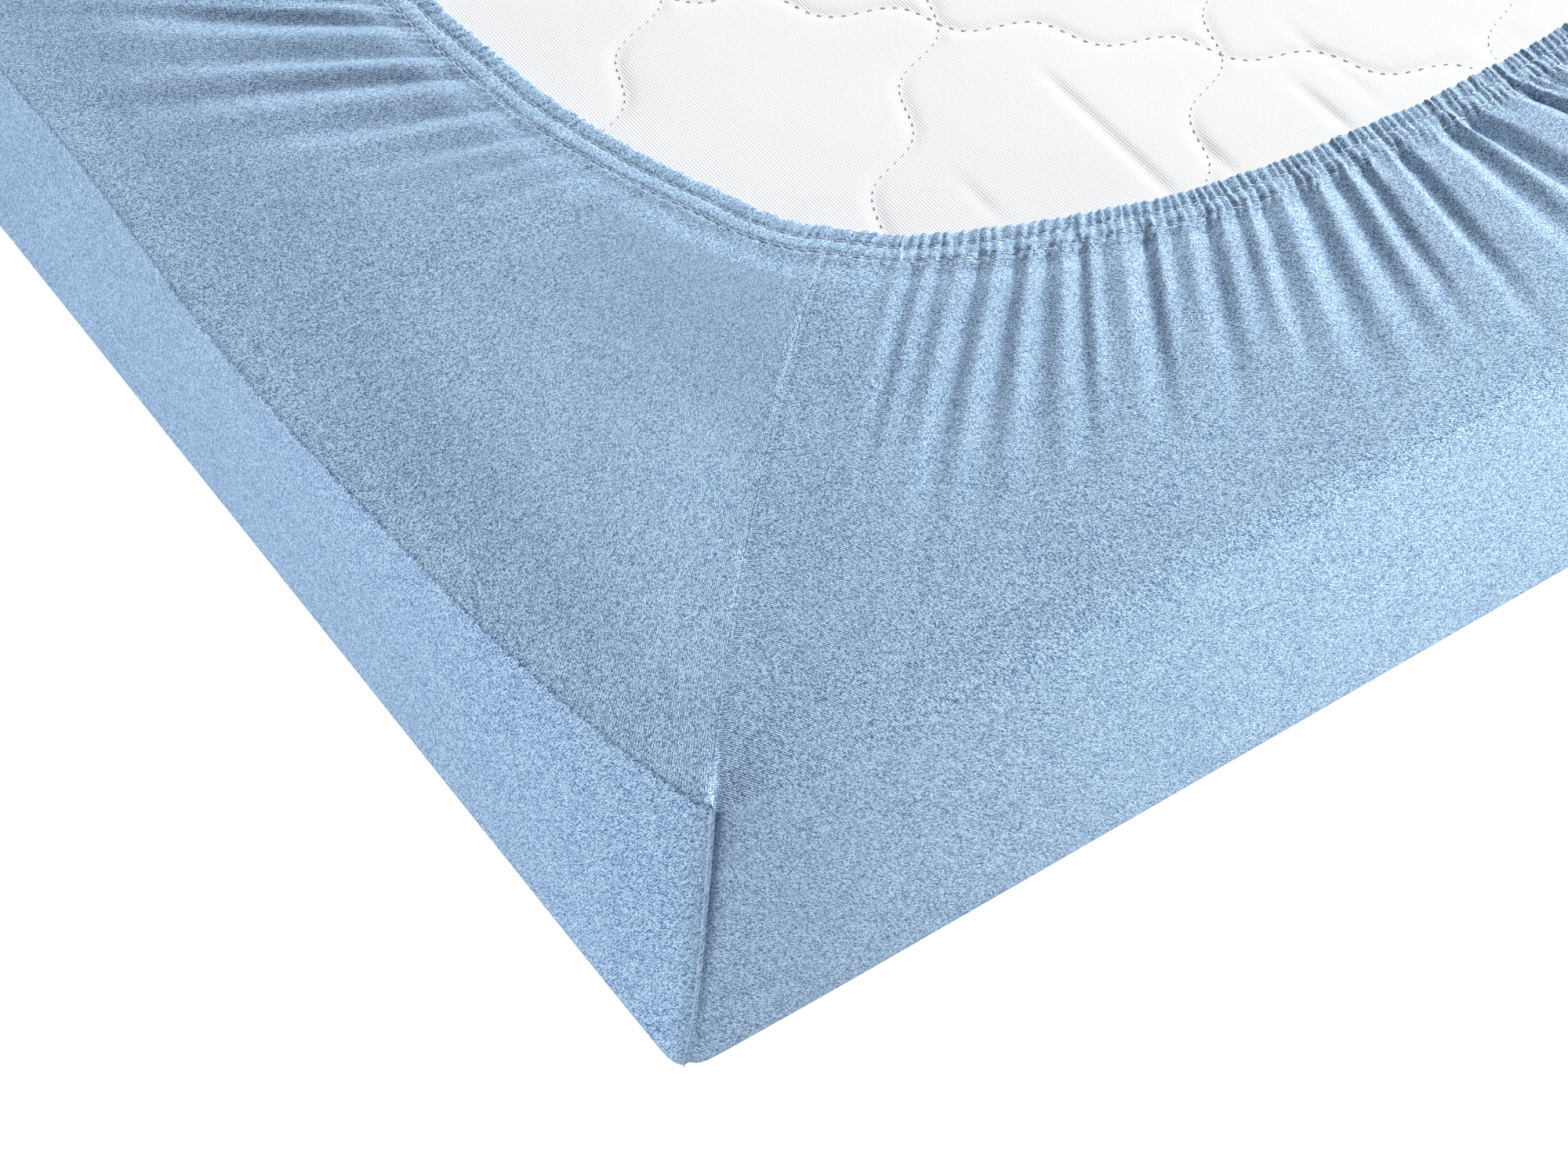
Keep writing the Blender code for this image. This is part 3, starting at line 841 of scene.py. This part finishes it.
def hem_ring(across, drop=0.0):
    """One row of the hem: a signed distance in from the stitch row, and its drop at the edge."""
    arch, index = gathers(across)
    size = gather_size(across, index)
    if across < 0:
        border, _ = flange_ring(fine, np.ones(len(fine.run)))
        span = np.hypot(*(border[:, :2] - fine.hem_point).T)
        ring, _ = flange_ring(fine, -across / span)
        ring[:, 2] += arch * size - groove(across)
        ring[:, 2] += seam_relief(fine, fine.run)
        return ring
    reach = across + EDGE_WANDER * arch * smooth((across - 0.013) / 0.005) * (size / 0.002)
    wander = EDGE_WANDER * noise(ROUND, 0.060, 2.2)
    plan = fine.hem_point + fine.to_middle * (reach + wander)[:, None]
    folds = fold_height(fine, np.zeros(len(fine.run))) * (1 - FOLDS_TAKEN * smooth(across / 0.009))
    height = TOP + FLANGE_RISE + HEM_LIFT + folds + arch * size - groove(across)
    place = across if across < ROW_GAP else min(across - ROW_GAP, ROW_GAP)
    between = sin(pi * place / ROW_GAP)
    height = height + PILLOW * between - HEM_FALL * smooth(across / 0.016)
    height = height + seam_relief(fine, fine.run) * (1 - 0.5 * smooth(across / 0.012))
    sink = drop * (HEM_THICKNESS + arch * size + folds) / HEM_THICKNESS
    return np.column_stack([plan, height - sink])


def matched_border():
    """The sheet's border, with the hem's extra points laid on its straight steps."""
    border = rings[0]
    at = np.arange(len(fine.run)) / MAIN_EVERY
    return np.column_stack([np.interp(at, np.arange(len(border)), border[:, k]) for k in range(3)])


hem_rings = [matched_border()]
hem_rings += [hem_ring(row * MM) for row in HEM_ROWS_MM]
hem_rings += [hem_ring(row * MM, drop * MM) for row, drop in EDGE_ROLL_MM]
hem = wrap_grid("hem", hem_rings, knit_metres(fine, hem_rings, fine.run * GATHERED, len(hem_rings) - 1))
deselect()
measure(hem)

# %% [markdown]
# Two rows of stitches hold the hem's casing. One stitch is modelled once, as a thin cylinder
# with rounded ends that lies along X, and read as a list of points. A copy of it is then laid
# along the seam line at each stitch's place, bent through three points of the cloth, and all the
# copies become one mesh. That keeps hundreds of stitches light and in step with the gathers.

# %% Stitches
STITCH_LENGTH = 0.0039
STITCH_GAP = 0.0012
OUTER_ROW_START = 0.0021   # the outer row's stitches start this much further on
THREAD = 0.00050
THREAD_SIDES = 5
THREAD_STEPS = (0.0, 0.06, 0.5, 0.94, 1.0)     # cuts along a stitch, and its width at each
THREAD_SWELL = (0.35, 0.9, 1.0, 0.9, 0.35)
ENDS_SUNK, MIDDLE_RAISED = 0.15, 0.90   # heights over the cloth, in threads
UP = (0.0, 0.0, 1.0)


def model_stitch():
    """A stitch of unit length along X, one thread thick: its points and faces."""
    deselect()
    bpy.ops.mesh.primitive_cylinder_add(vertices=THREAD_SIDES, radius=THREAD / 2, depth=1.0,
                                        rotation=(0, pi / 2, 0), location=(0.5, 0, 0))
    bpy.ops.object.transform_apply(location=True, rotation=True, scale=True)
    stitch = bpy.context.object
    bpy.ops.object.mode_set(mode="EDIT")
    for place in THREAD_STEPS[1:-1]:
        bpy.ops.mesh.select_all(action="SELECT")
        bpy.ops.mesh.bisect(plane_co=(place, 0, 0), plane_no=(1, 0, 0))
    bpy.ops.object.mode_set(mode="OBJECT")
    for vert in stitch.data.vertices:
        swell = np.interp(vert.co.x, THREAD_STEPS, THREAD_SWELL)
        vert.co.y *= swell
        vert.co.z *= swell
    points = np.array([v.co[:] for v in stitch.data.vertices])
    faces = [tuple(f.vertices) for f in stitch.data.polygons]
    bpy.data.objects.remove(stitch)
    return points, faces


STITCH_POINTS, STITCH_FACES = model_stitch()


def lay_stitches(name, starts, middles, ends, ups, width=1.0):
    """One mesh with a copy of the stitch through each start, middle and end."""
    x = STITCH_POINTS[:, 0]
    weights = np.stack([(1 - x) * (1 - 2 * x), 4 * x * (1 - x), x * (2 * x - 1)])
    ways = ends - starts
    ways = ways / np.linalg.norm(ways, axis=1, keepdims=True)
    acrosses = np.cross(ups, ways)
    acrosses = acrosses / np.linalg.norm(acrosses, axis=1, keepdims=True)
    spine = np.einsum("kp,knd->npd", weights, np.stack([starts, middles, ends]))
    body = spine + acrosses[:, None] * STITCH_POINTS[None, :, 1:2] * width \
        + np.cross(ways, acrosses)[:, None] * STITCH_POINTS[None, :, 2:3] * width
    size = len(STITCH_POINTS)
    faces = [tuple(v + k * size for v in face) for k in range(len(starts)) for face in STITCH_FACES]
    mesh = bpy.data.meshes.new(name)
    mesh.from_pydata(body.reshape(-1, 3).tolist(), [], faces)
    mesh.shade_smooth()
    piece = bpy.data.objects.new(name, mesh)
    bpy.context.scene.collection.objects.link(piece)
    deselect()
    piece.select_set(True)
    bpy.context.view_layer.objects.active = piece
    bpy.ops.object.mode_set(mode="EDIT")
    bpy.ops.mesh.select_all(action="SELECT")
    bpy.ops.mesh.normals_make_consistent(inside=False)
    bpy.ops.object.mode_set(mode="OBJECT")
    return piece


def distances(path):
    """How far along a path each of its points lies."""
    return np.concatenate([[0.0], np.cumsum(np.linalg.norm(np.diff(path, axis=0), axis=1))])


def at_places(places, run, values):
    """Values at places along a path whose points lie at the distances in run."""
    return np.column_stack([np.interp(places, run, values[:, k]) for k in range(3)])


def stitch_row(path, offset):
    run = distances(path * (1.0, 1.0, 0.0))
    step = STITCH_LENGTH + STITCH_GAP
    starts = np.arange(int(run[-1] / step)) * step + offset
    sunk, lift = (np.array(UP) * THREAD * height for height in (ENDS_SUNK, MIDDLE_RAISED))
    return (at_places(starts, run, path) + sunk, at_places(starts + STITCH_LENGTH / 2, run, path) + lift,
            at_places(starts + STITCH_LENGTH, run, path) + sunk)


row_index = {row: k + 1 for k, row in enumerate(HEM_ROWS_MM)}
rows = [stitch_row(hem_rings[row_index[0.0]], 0.0),
        stitch_row(hem_rings[row_index[round(ROW_GAP / MM, 1)]], OUTER_ROW_START)]
starts, middles, ends = (np.concatenate([row[k] for row in rows]) for k in range(3))
hem_stitches = lay_stitches("hem_stitches", starts, middles, ends, UP)
print(len(starts), "stitches in two rows")
measure(hem_stitches)

# %% [markdown]
# Each corner is closed by an overlocked seam. Its turned-in edges already show as a groove and a
# lip in the sheet. Between them small slanting ticks of the seaming thread catch the light, so
# short stitches are laid across the groove all the way down from the hem to the floor.

# %% Corner seam ticks
TICK_STEP = 0.0018
TICK_HALF = 0.00035
TICK_SLANT = 0.00090
TICK_STRAY = 0.0004
TICK_LIFTS = (0.0002, 0.0005, 0.0003)   # of its start, middle and end
TICK_WIDTH = 0.50          # of a thread
SEAM_ENDS = 0.002          # no ticks this near to either end of a seam
INSIDE_POINT = (0.0, 0.0, 0.06)    # every tick's normal points away from here


def seam_paths():
    """Each corner seam's points, with the points beside it on its two sides."""
    columns = [k for k in range(len(main.run) - 1) if main.run[k] < 0.000001]
    stack = np.array(rings)
    return [(stack[:-2, k], stack[:-2, k - 1] if k else stack[:-2, -2], stack[:-2, k + 1]) for k in columns]


tick_starts, tick_middles, tick_ends, tick_ups = [], [], [], []
for path, left, right in seam_paths():
    run = distances(path)
    places = np.arange(SEAM_ENDS, run[-1] - SEAM_ENDS, TICK_STEP)
    places += TICK_STRAY * dice.standard_normal(len(places))
    middle = at_places(places, run, path)
    ahead = at_places(places + TICK_SLANT, run, path) - at_places(places - TICK_SLANT, run, path)
    to_left, to_right = (at_places(places, run, beside - path) for beside in (left, right))
    to_left /= np.linalg.norm(to_left, axis=1, keepdims=True)
    to_right /= np.linalg.norm(to_right, axis=1, keepdims=True)
    across = to_left - to_right
    normal = np.cross(ahead, across)
    normal /= np.linalg.norm(normal, axis=1, keepdims=True)
    normal *= np.sign(np.sum(normal * (middle - INSIDE_POINT), axis=1))[:, None]
    across /= np.linalg.norm(across, axis=1, keepdims=True)
    half = across * TICK_HALF + ahead / 2
    tick_starts.append(middle - half + normal * TICK_LIFTS[0])
    tick_middles.append(middle + normal * TICK_LIFTS[1])
    tick_ends.append(middle + half + normal * TICK_LIFTS[2])
    tick_ups.append(normal)
seam_ticks = lay_stitches("seam_ticks", np.concatenate(tick_starts), np.concatenate(tick_middles),
                          np.concatenate(tick_ends), np.concatenate(tick_ups), TICK_WIDTH)
measure(seam_ticks)

# %% [markdown]
# The mattress is a foam block in a quilted knitted cover. The quilting is two families of wavy
# seams that cross on the slant. It could be sculpted or pressed in by a texture. Here a point's
# height comes from its distance to the nearest seam, which gives soft pads with pinched lines
# between them. A few shallow creases run in from the hem, where the elastic draws the cover.

# %% Quilting
FACE_HALF = (0.325, 0.892) # half sizes of the quilted face, which ends under the flange
FACE_STEP = 0.0022         # the face's grid is fine where the photo looks, and coarse elsewhere
COARSE_STEP = 0.0060
FINE_TO = (0.020, -0.600)  # it is fine up to this X and this Y
PAD_HEIGHT = 0.0004
PAD_SOFTNESS = 0.011
SWELL_HEIGHT = 0.0003      # slow unevenness of the padding
SEAM_DEPTH = 0.0004
SEAM_SOFTNESS = 0.0028
# Wavy quilt seams: spacing, where one of them lies, height of its waves, their length and place.
RISING_SEAMS = (0.1160, 0.0160, 0.0052, 0.0710, 0.3670)
FALLING_SEAMS = (0.1740, 0.4480, 0.0056, 0.0570, 0.0590)
# Soft creases of the cover, measured from a corner: where each crosses the short side's way,
# how far in it starts and ends, and its depth, in millimetres.
COVER_CREASES = (
    (252, 178, 226, 0.4), (318, 150, 262, 0.7), (347, 146, 196, 0.6), (403, 140, 198, 0.8),
    (424, 150, 232, 0.4), (487, 140, 190, 0.4), (500, 140, 182, 0.6),
)
CREASE_LEAN = 0.10
CREASE_WIDTH = 0.0030
CREASE_IN, CREASE_OUT = 0.02, 0.03     # how slowly a crease begins and ends
FLANGE_SINK = 0.0030       # under the sheet's flange the padding is pressed down this much
SINK_REACH = 0.012


def slanted(x, y):
    """Distances along the two slants from the near corner."""
    from_side, from_end = x + HALF_X, y + HALF_Y
    return (from_side + from_end) / 2 ** 0.5, (from_side - from_end) / 2 ** 0.5


def off_seam(place, across, seams):
    """Signed distance from the nearest wavy seam of a family."""
    spacing, first, wave, length, start = seams
    off = across - first - wave * np.cos(2 * pi * (place - start) / length)
    return off - spacing * np.rint(off / spacing)


def quilt_height(x, y):
    """Height of the cover over its quilt seams."""
    rising, falling = slanted(x, y)
    near = np.minimum(np.abs(off_seam(rising, falling, RISING_SEAMS)),
                      np.abs(off_seam(falling, rising, FALLING_SEAMS)))
    pad = PAD_HEIGHT * (1 - np.exp(-near / PAD_SOFTNESS))
    pinch = -SEAM_DEPTH * np.exp(-(near / SEAM_SOFTNESS) ** 2)
    swell = SWELL_HEIGHT * np.sin(31 * x + 17 * y) * np.sin(23 * y - 11 * x)
    crease = np.zeros_like(x)
    from_side, from_end = HALF_X - np.abs(x), HALF_Y - np.abs(y)
    for place, start, end, depth in COVER_CREASES:
        begun = smooth((from_end - start * MM) / CREASE_IN)
        inside = begun * (1 - smooth((from_end - end * MM) / CREASE_OUT + 1))
        middle = place * MM + CREASE_LEAN * from_end
        across = np.where(x < 0, from_side, 2 * HALF_X - from_side) - middle
        crease -= depth * MM * inside * np.exp(-(across / CREASE_WIDTH) ** 2)
    outside = np.maximum(np.interp(from_end, *HEM_LINES[True][:2]) - from_side,
                         np.interp(from_side, *HEM_LINES[False][:2]) - from_end)
    return pad + pinch + swell + crease - FLANGE_SINK * smooth(outside / SINK_REACH + 1)


print("quilt seams stand", RISING_SEAMS[0], "and", FALLING_SEAMS[0], "m apart")

# %% [markdown]
# Only the mattress's upward face shows, inside the hem. Its walls are wrapped like the sheet's, a
# little inside it, and the face is a grid that is fine where the photo looks. The two are joined,
# and their borders are bridged under the flange. The foot's rings run from the bottom up, so the
# cover turns back over itself there, wholly inside the sheet.

# %% The mattress
MATTRESS_INSET = 0.0035
MATTRESS_ROUND = 0.016     # radius of its upper edge, which stands in a little more
UPPER_INSET = MATTRESS_INSET + 0.004
MATTRESS_FOOT = 0.020      # radius of its lower edge
ROUND_STEPS = 4
PAD_CLEARANCE = 0.0002
FACE_LEVEL = mattress_high.z - PAD_HEIGHT - PAD_CLEARANCE

few = main.thinned(3)
foot, shoulder = [], []
for angle in np.linspace(0, pi / 2, ROUND_STEPS):
    height = STAND_OFF + MATTRESS_FOOT * (1 - sin(angle))
    foot.append(wall_ring(few, height, MATTRESS_INSET + MATTRESS_FOOT * (1 - cos(angle)), 0.0))
    height = FACE_LEVEL - FLANGE_SINK - MATTRESS_ROUND * (1 - sin(angle))
    shoulder.append(wall_ring(few, height, UPPER_INSET + MATTRESS_ROUND * (1 - cos(angle)), 1.0))
walls = shoulder[::-1] + foot[::-1]
mattress = wrap_grid("quilted_mattress", walls, knit_metres(few, walls, few.edge, len(walls) - 1))

deselect()
across, along = (
    np.concatenate([np.linspace(-half, limit, int((limit + half) / FACE_STEP)),
                    np.linspace(limit, half, int((half - limit) / COARSE_STEP))[1:]])
    for half, limit in zip(FACE_HALF, FINE_TO))
bpy.ops.mesh.primitive_grid_add(x_subdivisions=len(across) - 1, y_subdivisions=len(along) - 1, size=1.0)
face = bpy.context.object
flat = np.empty(len(face.data.vertices) * 3)
face.data.vertices.foreach_get("co", flat)
flat = flat.reshape(-1, 3)
flat[:, 0] = across[np.rint((flat[:, 0] + 0.5) * (len(across) - 1)).astype(int)]
flat[:, 1] = along[np.rint((flat[:, 1] + 0.5) * (len(along) - 1)).astype(int)]
flat[:, 2] = FACE_LEVEL + quilt_height(flat[:, 0], flat[:, 1])
face.data.vertices.foreach_set("co", flat.ravel())
deselect()
face.select_set(True)
mattress.select_set(True)
bpy.context.view_layer.objects.active = mattress
bpy.ops.object.join()
bpy.ops.object.mode_set(mode="EDIT")
bpy.ops.mesh.select_mode(type="EDGE")
bpy.ops.mesh.select_all(action="DESELECT")
bpy.ops.mesh.select_non_manifold()
bpy.ops.object.mode_set(mode="OBJECT")
verts = mattress.data.vertices
for edge in mattress.data.edges:
    edge.select = edge.select and verts[edge.vertices[0]].co.z > FACE_LEVEL / 2
bpy.ops.object.mode_set(mode="EDIT")
bpy.ops.mesh.bridge_edge_loops()
bpy.ops.mesh.select_all(action="DESELECT")
bpy.ops.mesh.select_non_manifold()
bpy.ops.mesh.edge_face_add()
bpy.ops.mesh.select_all(action="SELECT")
bpy.ops.mesh.normals_make_consistent(inside=False)
bpy.ops.object.mode_set(mode="OBJECT")
mattress.data.shade_smooth()
deselect()
measure(mattress)

# %% [markdown]
# The quilt seams are sewn with white thread that sinks into the cover. Its short stitches follow
# the same wavy lines, and only those on the face and clear of its border are laid.

# %% Quilt stitches
QUILT_STITCH = 0.0021
QUILT_STEP = 0.0050
QUILT_MARGIN = 0.012       # no stitches this near to the face's border
QUILT_WIDTH = 0.85         # of a thread
QUILT_RAISED = (0.0001, 0.0004)    # of its ends and its middle
SEAM_NUMBERS = range(-16, 17)      # enough seams of each family to cover the face
SEAM_SPAN = (-1.8, 2.4)            # and enough of each


def quilt_lines(seams, falling_family):
    """Starts and ends of the stitches of one family of seams."""
    spacing, first, wave, length, start = seams
    starts, ends = [], []
    for k in SEAM_NUMBERS:
        for shift, row in ((0.0, starts), (QUILT_STITCH, ends)):
            place = np.arange(*SEAM_SPAN, QUILT_STEP) + shift
            across = first + spacing * k + wave * np.cos(2 * pi * (place - start) / length)
            rising, falling = (across, place) if falling_family else (place, across)
            from_side, from_end = (rising + falling) / 2 ** 0.5, (rising - falling) / 2 ** 0.5
            row.append(np.column_stack([from_side - HALF_X, from_end - HALF_Y]))
    starts, ends = np.concatenate(starts), np.concatenate(ends)
    inside = np.all(np.abs(starts) < np.array(FACE_HALF) - QUILT_MARGIN, axis=1)
    return starts[inside], ends[inside]


def on_face(points, rise):
    return np.column_stack([points, FACE_LEVEL + quilt_height(points[:, 0], points[:, 1]) + rise])


first = quilt_lines(RISING_SEAMS, False)
second = quilt_lines(FALLING_SEAMS, True)
starts, ends = np.concatenate([first[0], second[0]]), np.concatenate([first[1], second[1]])
at_ends, at_middle = QUILT_RAISED
middles = on_face((starts + ends) / 2, at_middle)
quilt_stitches = lay_stitches("quilt_stitches", on_face(starts, at_ends), middles, on_face(ends, at_ends),
                              UP, QUILT_WIDTH)
print(len(starts), "quilt stitches")
measure(quilt_stitches)

# %% [markdown]
# Materials are node trees on the pieces' own coordinates, so a pattern stays on its cloth. They
# could be wired by hand in the shader editor. A few small helpers do the same: one adds a node
# with its settings and inputs, and the others are for arithmetic, mixing and bump.

# %% Node helpers



def new_material(name):
    material = bpy.data.materials.new(name)
    material.use_nodes = True
    tree = material.node_tree
    return material, tree, tree.nodes["Principled BSDF"]


def plug(tree, socket, value):
    """Link a socket to another node's output, or set its value."""
    if isinstance(value, bpy.types.NodeSocket):
        tree.links.new(value, socket)
    else:
        socket.default_value = value


def node(tree, kind, settings=None, **inputs):
    made = tree.nodes.new("ShaderNode" + kind)
    for name, value in (settings or {}).items():
        setattr(made, name, value)
    for name, value in inputs.items():
        plug(tree, made.inputs[name.replace("_", " ")], value)
    return made


def maths(tree, operation, a, b=0.5, c=0.5):
    made = node(tree, "Math", {"operation": operation})
    for socket, value in zip(made.inputs, (a, b, c)):
        plug(tree, socket, value)
    return made.outputs[0]


def around_zero(tree, value, size):
    """Turn a value from 0 to 1 into one from minus half of size to plus half of it."""
    return maths(tree, "MULTIPLY_ADD", value, size, -size / 2)


def mixed(tree, share, first, second):
    made = node(tree, "Mix", {"data_type": "RGBA"})
    sockets = {socket.identifier: socket for socket in made.inputs}
    for name, value in (("Factor_Float", share), ("A_Color", first), ("B_Color", second)):
        plug(tree, sockets[name], value)
    return {socket.identifier: socket for socket in made.outputs}["Result_Color"]


def bumped(tree, shader, height, strength, distance):
    bump = node(tree, "Bump", Height=height, Strength=strength, Distance=distance)
    tree.links.new(bump.outputs["Normal"], shader.inputs["Normal"])


def surface(shader, **values):
    for name, value in values.items():
        shader.inputs[name.replace("_", " ")].default_value = value


# %% [markdown]
# Melange jersey looks like a pale blue haze of light and dark fibres over fine ribs. Its colour
# is mixed from two blues. Most of the mixture is a grain of small cells on the cloth's own UV, a
# little longer along the ribs than across them. Small clumps, slow clouds and the ribs, a wave on
# the same UV, are added to it. Over the walls the cloth is stretched and its grain is a little
# calmer. Ribs and grain give the bump, and a little sheen stands for the nap.

# %% Jersey
JERSEY_DEEP = (0.046, 0.118, 0.275, 1.0)
JERSEY_PALE = (0.560, 0.770, 0.985, 1.0)
GRAINS_ALONG = 2300.0      # fibre grains to the metre, along the ribs and across them
GRAINS_ACROSS = 3000.0
RIB_PITCH = 0.00090
WALL_CLOTH = (0.118, 0.131)   # below the first height the cloth is stretched over a wall
WALL_CALM = 0.92           # and its grain shows this much of its strength
WAVE_TURN = pi / 10        # a wave texture's period at scale 1, in its own units
GRAIN_SHARE, CLUMP_SHARE, CLOUD_SHARE, RIB_TINT = 2.5, 0.12, 0.30, 0.44   # parts of the colour


def jersey_material():
    material, tree, shader = new_material("melange_jersey")
    place = node(tree, "TexCoord")
    stretched = node(tree, "Mapping", Vector=place.outputs["UV"], Scale=(GRAINS_ALONG, GRAINS_ACROSS, 1.0))
    grains = node(tree, "TexVoronoi", {"voronoi_dimensions": "2D"}, Vector=stretched.outputs["Vector"],
                  Scale=1.0)
    grain = node(tree, "SeparateColor", Color=grains.outputs["Color"])
    clumps = node(tree, "TexNoise", Vector=place.outputs["Object"], Scale=900.0, Detail=3.0, Roughness=0.7)
    clouds = node(tree, "TexNoise", Vector=place.outputs["Object"], Scale=45.0, Detail=3.0, Roughness=0.55)
    ribs = node(tree, "TexWave", {"wave_type": "BANDS", "bands_direction": "Y", "wave_profile": "SIN"},
                Vector=place.outputs["UV"], Scale=WAVE_TURN / RIB_PITCH, Distortion=1.3, Detail=1.0,
                Detail_Scale=2.0, Detail_Roughness=0.5)
    height_above = node(tree, "SeparateXYZ", Vector=place.outputs["Object"])
    on_top = node(tree, "MapRange", {"clamp": True}, Value=height_above.outputs["Z"], From_Min=WALL_CLOTH[0],
                  From_Max=WALL_CLOTH[1])
    lively = maths(tree, "MULTIPLY_ADD", on_top.outputs["Result"], 1 - WALL_CALM, WALL_CALM)
    speckle = maths(tree, "MULTIPLY", around_zero(tree, grain.outputs["Red"], GRAIN_SHARE), lively)
    clump = around_zero(tree, clumps.outputs["Fac"], CLUMP_SHARE)
    cloud = around_zero(tree, clouds.outputs["Fac"], CLOUD_SHARE)
    rib = around_zero(tree, ribs.outputs["Fac"], RIB_TINT)
    total = maths(tree, "ADD", maths(tree, "ADD", speckle, clump), maths(tree, "ADD", cloud, rib))
    share = node(tree, "MapRange", {"clamp": True}, Value=total, From_Min=-1.0, From_Max=1.0)
    colour = mixed(tree, share.outputs["Result"], JERSEY_DEEP, JERSEY_PALE)
    tree.links.new(colour, shader.inputs["Base Color"])
    height = maths(tree, "ADD", maths(tree, "MULTIPLY", ribs.outputs["Fac"], 0.45),
                   maths(tree, "MULTIPLY", grain.outputs["Green"], 0.5))
    bumped(tree, shader, height, 0.5, 0.00035)
    surface(shader, Roughness=0.85, Specular_IOR_Level=0.2, Sheen_Weight=0.15, Sheen_Roughness=0.5,
            Sheen_Tint=(0.75, 0.86, 1.0, 1.0))
    return material


jersey = jersey_material()
for piece in (sheet, hem):
    piece.data.materials.clear()
    piece.data.materials.append(jersey)
print(jersey.name, "has", len(jersey.node_tree.nodes), "nodes")

# %% [markdown]
# Sewing thread is a soft twisted cotton or polyester, a little paler or darker from fibre to
# fibre. One function makes it, and each use has its own colour: the hem's and the corner seams'
# threads are dyed to match the jersey. The quilting's thread is white, but its colour is painted
# grey for the shade of its groove and needle holes.

# %% Thread
DARK_FIBRE = 0.72          # the darker fibres have this share of the colour
THREADS = (
    (hem_stitches, "hem_thread", (0.74, 0.84, 0.95, 1.0), 0.6),
    (seam_ticks, "seam_thread", (0.58, 0.74, 0.93, 1.0), 0.6),
    # The quilting's white thread, painted grey for the shade of its groove and needle holes.
    (quilt_stitches, "quilt_thread_painted_shade", (0.72, 0.73, 0.76, 1.0), 0.7),
)


def thread_material(name, colour, roughness):
    material, tree, shader = new_material(name)
    place = node(tree, "TexCoord")
    fibres = node(tree, "TexNoise", Vector=place.outputs["Object"], Scale=2200.0, Detail=2.0)
    dark = tuple(DARK_FIBRE * c for c in colour[:3]) + (1.0,)
    tree.links.new(mixed(tree, fibres.outputs["Fac"], dark, colour), shader.inputs["Base Color"])
    bumped(tree, shader, fibres.outputs["Fac"], 0.4, 0.0001)
    surface(shader, Roughness=roughness, Sheen_Weight=0.2)
    return material


for piece, name, colour, roughness in THREADS:
    piece.data.materials.append(thread_material(name, colour, roughness))
print("threads", [name for _, name, _, _ in THREADS])

# %% [markdown]
# The mattress's cover is a white knitted damask. It shows faint slanting lines, a little mottle
# where the knit is denser, and soft ring motifs that differ from the ground only by the way the
# stitches lie, so they are drawn with a very small change of colour and height.

# %% Ticking
TICKING_WHITE = (0.845, 0.850, 0.862, 1.0)
TICKING_SHADE = (0.670, 0.685, 0.715, 1.0)
LINE_PITCH = 0.0013
RING_RADIUS, RING_INNER, RING_OUTER = 0.15, 0.018, 0.035   # in cells
# How much of the shade comes from the lines, the fine noise, the mottle and the rings.
LINE_SHADE, NOISE_SHADE, MOTTLE_SHADE, RING_SHADE = 0.16, 0.20, 0.18, 0.10


def ticking_material():
    material, tree, shader = new_material("white_damask")
    place = node(tree, "TexCoord")
    turned = node(tree, "Mapping", Vector=place.outputs["Object"], Rotation=(0.0, 0.0, radians(3)))
    lines = node(tree, "TexWave", {"wave_type": "BANDS", "bands_direction": "X", "wave_profile": "SIN"},
                 Vector=turned.outputs["Vector"], Scale=WAVE_TURN / LINE_PITCH, Distortion=0.8, Detail=1.0)
    fine_noise = node(tree, "TexNoise", Vector=place.outputs["Object"], Scale=900.0, Detail=2.0)
    mottle = node(tree, "TexNoise", Vector=place.outputs["Object"], Scale=30.0, Detail=3.0)
    cells = node(tree, "TexVoronoi", {"feature": "F1"}, Vector=place.outputs["Object"], Scale=11.0,
                 Randomness=0.55)
    off_ring = maths(tree, "ABSOLUTE", maths(tree, "SUBTRACT", cells.outputs["Distance"], RING_RADIUS))
    ring = node(tree, "MapRange", {"clamp": True}, Value=off_ring, From_Min=RING_INNER, From_Max=RING_OUTER,
                To_Min=1.0, To_Max=0.0)
    shade = maths(tree, "MULTIPLY", lines.outputs["Fac"], LINE_SHADE)
    for value, part in ((fine_noise.outputs["Fac"], NOISE_SHADE), (mottle.outputs["Fac"], MOTTLE_SHADE),
                        (ring.outputs["Result"], RING_SHADE)):
        shade = maths(tree, "MULTIPLY_ADD", value, part, shade)
    tree.links.new(mixed(tree, shade, TICKING_WHITE, TICKING_SHADE), shader.inputs["Base Color"])
    height = maths(tree, "ADD", maths(tree, "MULTIPLY", lines.outputs["Fac"], 0.7), fine_noise.outputs["Fac"])
    bumped(tree, shader, height, 0.35, 0.0002)
    surface(shader, Roughness=0.8, Specular_IOR_Level=0.15, Sheen_Weight=0.15)
    return material


mattress.data.materials.clear()
mattress.data.materials.append(ticking_material())
print("materials", [m.name for m in bpy.data.materials])

# %% [markdown]
# Last, every piece is told which body of the CAD model it rides on, and the CAD model's own sheet
# and mattress are hidden.

for piece in (sheet, hem, hem_stitches, seam_ticks, mattress, quilt_stitches):
    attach(piece, "root")
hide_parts("fitted_sheet")
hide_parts("mattress")
